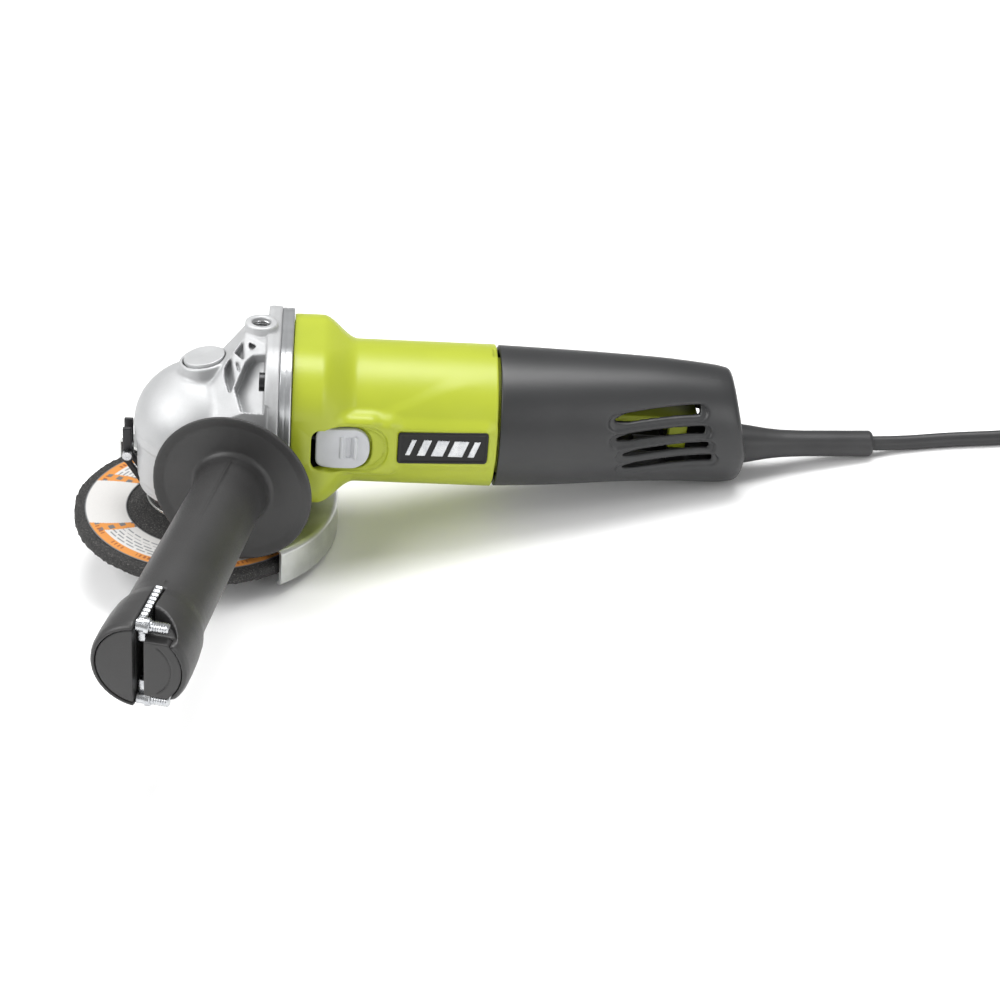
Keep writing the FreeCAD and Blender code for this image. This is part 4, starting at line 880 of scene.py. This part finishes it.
def make_grip():
    b = Block((-36, -36, 37.4), (36, 36, 179.4), 0.6)
    x, y, z = b.x, b.y, b.z
    # the outline's distance is worked out once over radius and height, then read off for every point
    radius = length(x, y)
    steps = np.arange(0, 53, TABLE_STEP, dtype=np.float32)
    table = outline(steps[:, None], z[0], GRIP)
    near = radius[..., 0] / TABLE_STEP
    low = np.floor(near).astype(int)
    share = (near - low)[..., None]
    solid = table[low] * (1 - share) + table[np.minimum(low + 1, len(steps) - 1)] * share
    # mould line, cavity and slots for the spanner
    line = radius - 17.05 + 0.9 * (z < 142) + 0.2
    solid = join(solid, np.maximum(crate(x, y, z, (-0.22, 10, 46), (0.22, 40, 147)), line), 0.3)
    solid = carve(solid, np.maximum(radius - 17.0, slab(z, 172.9, 181)), 0.3)
    solid = carve(solid, crate(x, y, z, (-1.9, -7.6, 88), (1.9, 7.6, 181), 0.3), 0.3)
    solid = carve(solid, crate(x, y, z, (-1.95, -22, 147.6), (1.95, 22, 181), 0.3), 0.5)
    # a scoop beside each spanner pin
    for side in (1, -1):
        reach = length(np.maximum(x, 0) * 0.92, (z - 177.5) * 0.9) - 13.0
        deep = np.maximum(np.maximum(reach, 12.4 - side * y), 1.6 - x)
        solid = carve(solid, deep, 0.8)
    # hole for the stud
    solid = carve(solid, rod(x, y, z, 4.05, 36, 74), 0.3)
    b.piece("grip_moulding", solid, 0.26, HANDLE, "grip_plastic", "tool", "grip_plastic",
            ["side_handle_grip"])


make_grip()


def make_caps():
    b = Block((-18, -18, 172), (18, 18, 180), 0.3)
    x, y, z = b.x, b.y, b.z
    radius = length(x, y)
    crown = 177.9 + 0.35 * (1 - (radius / 17) ** 2)
    base = meet(radius - 16.75, np.maximum(173.1 - z, z - crown + 0.35), 0.5)
    left = meet(base, x + 2.15, 0.4)
    b.piece("cap_left", left, 0.4, HANDLE, "grip_plastic", "tool", "grip_plastic", ["handle_cap_front"])
    right = meet(base, 2.15 - x, 0.4)
    right = meet(right, slab(y, -12.5, 12.4), 0.5)
    step_arc = np.maximum(np.abs(radius - 12.6) - 0.22, np.maximum(np.abs(z - 178.2) - 0.8, 2 - x))
    right = carve(right, np.maximum(step_arc, np.abs(y) - 10.4), 0.2)
    b.piece("cap_right", right, 0.4, HANDLE, "grip_plastic", "tool", "grip_plastic", ["handle_cap_rear"])


make_caps()


# Pin spanner, stored in the handle's slots, and its two pins

PIN_OUT, PIN_HEIGHT = 16.7, 173.2


def make_spanner():
    b = Block((-3, -20.6, 88), (3, 20.6, 178.6), 0.3)
    x, y, z = b.x, b.y, b.z
    teeth = 0.32 * np.sin(z * 2 * math.pi / 2.6) * (z > 150) * (z < 171)
    plate = crate(x, y, z, (-1.5, -19.3, 150), (1.5, 19.3, 177.2), 0.3)
    plate = np.maximum(plate, np.abs(y) - 19.2 + teeth)
    plate = carve(plate, crate(x, y, z, (-3, -9, 158), (3, 9, 182), 0.8), 0.5)
    plate = join(plate, crate(x, y, z, (-1.5, -7, 90), (1.5, 7, 158), 0.3), 0.5)
    for side in (-1, 1):
        tip = length(y - side * PIN_OUT, z - PIN_HEIGHT) - 3.9
        plate = np.where(z > PIN_HEIGHT, np.maximum(plate, tip), plate)
    b.piece("spanner_plate", plate, 0.35, HANDLE, "bright_zinc", "spanner", "zinc_plate", ["pin_spanner"])


make_spanner()


def make_pins():
    profile = [(0, -1.9), (2.1, -1.9), (2.5, -1.5), (2.5, 1.5), (3.1, 1.6), (3.1, 3.4), (2.7, 3.8),
               (2.25, 3.9)]
    for ridge in range(6):
        height = 4.4 + ridge * 0.95
        profile += [(2.3, height), (2.02, height + 0.45)]
    profile += [(2.25, 10.1), (1.7, 10.8), (0, 10.8)]
    for side, label, nodes in ((1, "upper", ["spanner_pins"]), (-1, "lower", [])):
        place = HANDLE @ frame_of((0, 0, 1), (0, 1, 0), (1, 0, 0), (0, side * PIN_OUT, PIN_HEIGHT))
        hard_edges(turned(f"spanner_pin_{label}", profile, place, "bright_zinc", "spanner", "zinc_plate",
                          nodes, count=36), 35)


make_pins()


# Wheel, label, guard and flanges

RIM = 56


def ragged(points):
    """Grit: small pushes in and out, stronger at the rim."""
    shift = rng.normal(0, 0.10, points.shape)
    outer = np.linalg.norm(points[..., :2], axis=-1) > RIM
    shift[outer] += rng.normal(0, 0.16, (outer.sum(), 3))
    return np.clip(shift, -0.38, 0.30)


def between(corners, pitch):
    """The outline with extra points along its long runs."""
    result = []
    for start, end in zip(corners, corners[1:] + corners[:1]):
        count = max(1, int(math.hypot(end[0] - start[0], end[1] - start[1]) / pitch))
        result += [(start[0] + (end[0] - start[0]) * i / count, start[1] + (end[1] - start[1]) * i / count)
                   for i in range(count)]
    return result


wheel = [(15.2, -53.7), (22.5, -53.7), (33, -58.0), (56.4, -58.0), (56.85, -57.4), (56.85, -53.4),
         (56.3, -52.8),
         (33, -52.8), (22.5, -48.3), (15.2, -48.3)]
turned("wheel_disc", between(wheel, 1.3), TOOL, "abrasive", "wheel_spindle", "abrasive", ["grinding_wheel"],
       count=260, shift=ragged)
turned("wheel_bush", rounded([(11.2, -53.8), (15.1, -53.8), (15.1, -48.25), (11.2, -48.25)], 0.3), TOOL,
       "bronze", "wheel_spindle", "steel", ["wheel_arbor_ring"], count=72)


# The label's mesh and its plain pattern: radii in millimetres, angles in degrees
LABEL_INNER, LABEL_OUTER, LABEL_Z = 33.6, 52.3, -52.43
EDGE_INNER, EDGE_OUTER = 34.0, 51.8
WHITE = np.array((0.58, 0.57, 0.555))
ORANGE = np.array((0.60, 0.235, 0.045))
GREY = np.array((0.13, 0.135, 0.14))
TICK_BROWN = (0.28, 0.08, 0.02)
BAND_FROM = 47.6
BORDER = 7.5
RULE_PITCH = 1.9


def make_label():
    """Paper ring: white fields, orange borders and plain grey rules."""
    rings, spokes = ((52, 760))
    radii = np.linspace(LABEL_INNER, LABEL_OUTER, rings)
    angles = np.linspace(0, 2 * math.pi, spokes, endpoint=False)
    r, a = np.meshgrid(radii, angles, indexing="ij")
    turn = np.degrees(a)
    points = np.stack([r * np.cos(a), r * np.sin(a), np.full_like(r, LABEL_Z)], -1).reshape(-1, 3)
    faces = []
    for i in range(rings - 1):
        here, beyond = i * spokes, (i + 1) * spokes
        for j in range(spokes):
            k = (j + 1) % spokes
            faces.append((here + j, beyond + j, beyond + k, here + k))
    # two opposite fields that narrow outwards, each between a pair of borders
    colour = np.tile(WHITE, (rings, spokes, 1))
    swing = np.mod(a + math.pi, math.pi)
    swing = np.minimum(swing, math.pi - swing)
    edge = np.radians(29 - (r - 33) * 0.48)
    field = swing < edge
    border = (swing >= edge) & (swing < edge + np.radians(BORDER))
    band = (r > BAND_FROM) & ~field
    colour[border | band] = ORANGE
    colour[border & (np.mod(r, 5.0) > 2.6) & (np.mod(turn, 7) > 3.2)] = GREY
    rules = ~field & ~border & (r < 46.6) & (r > 37.5) & (np.mod(r, RULE_PITCH) < 0.62)
    rules &= np.mod(turn * 3.1 + np.floor(r / RULE_PITCH) * 37, 23) > 5
    colour[rules] = GREY * 1.6
    ticks = band & (r > 48.6) & (r < 50.4) & (np.mod(turn, 17) < 8) & (np.mod(turn, 2.4) < 1.1)
    colour[ticks] = TICK_BROWN
    colour[(r > EDGE_OUTER) | (r < EDGE_INNER)] = GREY
    colour *= (1 - 0.05 * rng.random((rings, spokes)))[..., None]
    paper = painted("paper_label_look", 0.55, 0.006)
    made = add_piece("label_print", points, faces, TOOL, paper, "wheel_spindle",
                     "paper_label", ["wheel_label"])
    paint = made.data.attributes.new("paint", "FLOAT_COLOR", "POINT")
    flat = np.concatenate([colour.reshape(-1, 3), np.ones((len(points), 1))], 1)
    paint.data.foreach_set("color", flat.astype(np.float32).ravel())
    thick = made.modifiers.new("thick", "SOLIDIFY")
    thick.thickness, thick.offset = 0.2 * MM, -1
    apply_modifiers(made)


make_label()

GUARD_START, GUARD_SWEEP = -53, 186
skirt = rounded([(22.0, -46.2), (58.6, -46.2), (59.0, -46.6), (59.0, -60.4), (57.75, -61.1), (57.75, -61.95),
                 (59.9, -61.95), (60.45, -61.2), (60.45, -46.2), (58.9, -44.75), (22.0, -44.75)], 0.8, 3)
hard_edges(turned("guard_pressing", skirt, TOOL, "zinc_plate", "guard", "zinc_plate",
                  ["wheel_guard", "wheel_guard_skirt"], count=150, first=GUARD_START, sweep=GUARD_SWEEP), 40)
collar = [(20.9, -46.15), (25.0, -46.15), (25.0, -44.8), (22.35, -44.8), (22.35, -40.5), (20.9, -40.5)]
hard_edges(turned("guard_collar", rounded(collar, 0.3, 3), TOOL, "zinc_plate", "guard", "zinc_plate",
                  count=110), 40)


# Guard clamp: a band round the collar, and two lugs drawn together by the screw

def make_clamp():
    b = Block((-36, -26, -45), (26, 26, -10), 0.4)
    x, y, z = b.x, b.y, b.z
    band = np.maximum(np.abs(length(x, y) - 23.55) - 1.05, slab(z, -44.1, -40.7))
    band = carve(band, crate(x, y, z, (-40, -3.2, -46), (-15, 3.2, -39)))
    strap = np.maximum(np.abs((z + 35.2) * 0.62 + (x + 28.4)) - 1.5, slab(z, -43.9, -26.5)) * 0.85
    lug = crate(x, np.abs(y), z, (-34.9, 3.2, -28.5), (-30.9, 5.2, -11.2), 0.5)
    lugs = join(lug, meet(strap, slab(np.abs(y), 3.2, 5.2), 0.4), 0.6)
    clamp = carve(join(band, lugs, 0.6), length(x + 32.9, z + 24) - 1.75, 0.2)
    b.piece("clamp_band", clamp, 0.35, TOOL, "black_steel", "guard", "black_steel", ["guard_clamp_band"])


make_clamp()


# Carried-over parts keep their shape and take the finish of their slot, or one of their own

LOOK_OF_SLOT = {"paper_label": "button_silver"}
LOOK_OF_NODE = {"inner_flange": "black_steel", "gear_case_screws": "dark_screw",
                "retainer_screws": "dark_screw",
                "guard_clamp_screw": "bright_zinc", "guard_clamp_nut": "bright_zinc",
                "plug_blades": "bright_zinc"}
for name, node in frame["nodes"].items():
    slot_name = node.material_slots[0].material.name.split(".")[0]
    look = LOOK_OF_NODE.get(name) or LOOK_OF_SLOT.get(slot_name, slot_name)
    node.data.materials.clear()
    node.data.materials.append(MATERIALS.get(look, MATERIALS["steel"]))
    if not node.hide_render:
        softened = node.modifiers.new("softened", "BEVEL")
        softened.width, softened.segments = 0.25 * MM, 2
        softened.limit_method, softened.angle_limit = "ANGLE", math.radians(40)
        softened.use_clamp_overlap = True


# Floor and light

FLOOR_REACH = 6
FLOOR_GREY = 0.93
WORLD_STRENGTH = 0.42
floor_mesh = bpy.data.meshes.new("floor")
floor_corners = [(x * FLOOR_REACH, y * FLOOR_REACH, 0) for x, y in ((-1, -1), (1, -1), (1, 1), (-1, 1))]
floor_mesh.from_pydata(floor_corners, [], [(0, 1, 2, 3)])
floor = bpy.data.objects.new("floor", floor_mesh)
bpy.context.collection.objects.link(floor)
pale, _, _, pale_shader = new_material("pale_floor")
pale_shader.inputs["Base Color"].default_value = (FLOOR_GREY, FLOOR_GREY, FLOOR_GREY, 1)
pale_shader.inputs["Roughness"].default_value = 0.9
pale_shader.inputs["Specular IOR Level"].default_value = 0.1
floor_mesh.materials.append(pale)


def area_light(name, place, aim, size, power, size_y=None):
    """A soft light at a place, turned towards an aim."""
    data = bpy.data.lights.new(name, "AREA")
    data.energy, data.size = power, size
    if size_y:
        data.shape, data.size_y = "RECTANGLE", size_y
    lamp = bpy.data.objects.new(name, data)
    lamp.location = place
    lamp.rotation_euler = (Vector(aim) - Vector(place)).to_track_quat("-Z", "Y").to_euler()
    bpy.context.collection.objects.link(lamp)


area_light("key", (-0.95, -0.35, 1.05), (0, 0, 0.02), 1.0, 15)
area_light("top", (0.2, 0.3, 1.35), (0, 0, 0.03), 1.1, 19, 0.6)
area_light("fill", (0.95, -1.1, 0.55), (0.05, 0, 0.05), 0.6, 5)
world = bpy.data.worlds.new("studio")
bpy.context.scene.world = world
world.use_nodes = True
background = world.node_tree.nodes["Background"]
background.inputs["Color"].default_value = (1, 1, 1, 1)
background.inputs["Strength"].default_value = WORLD_STRENGTH
bpy.context.scene.view_settings.view_transform = "Standard"
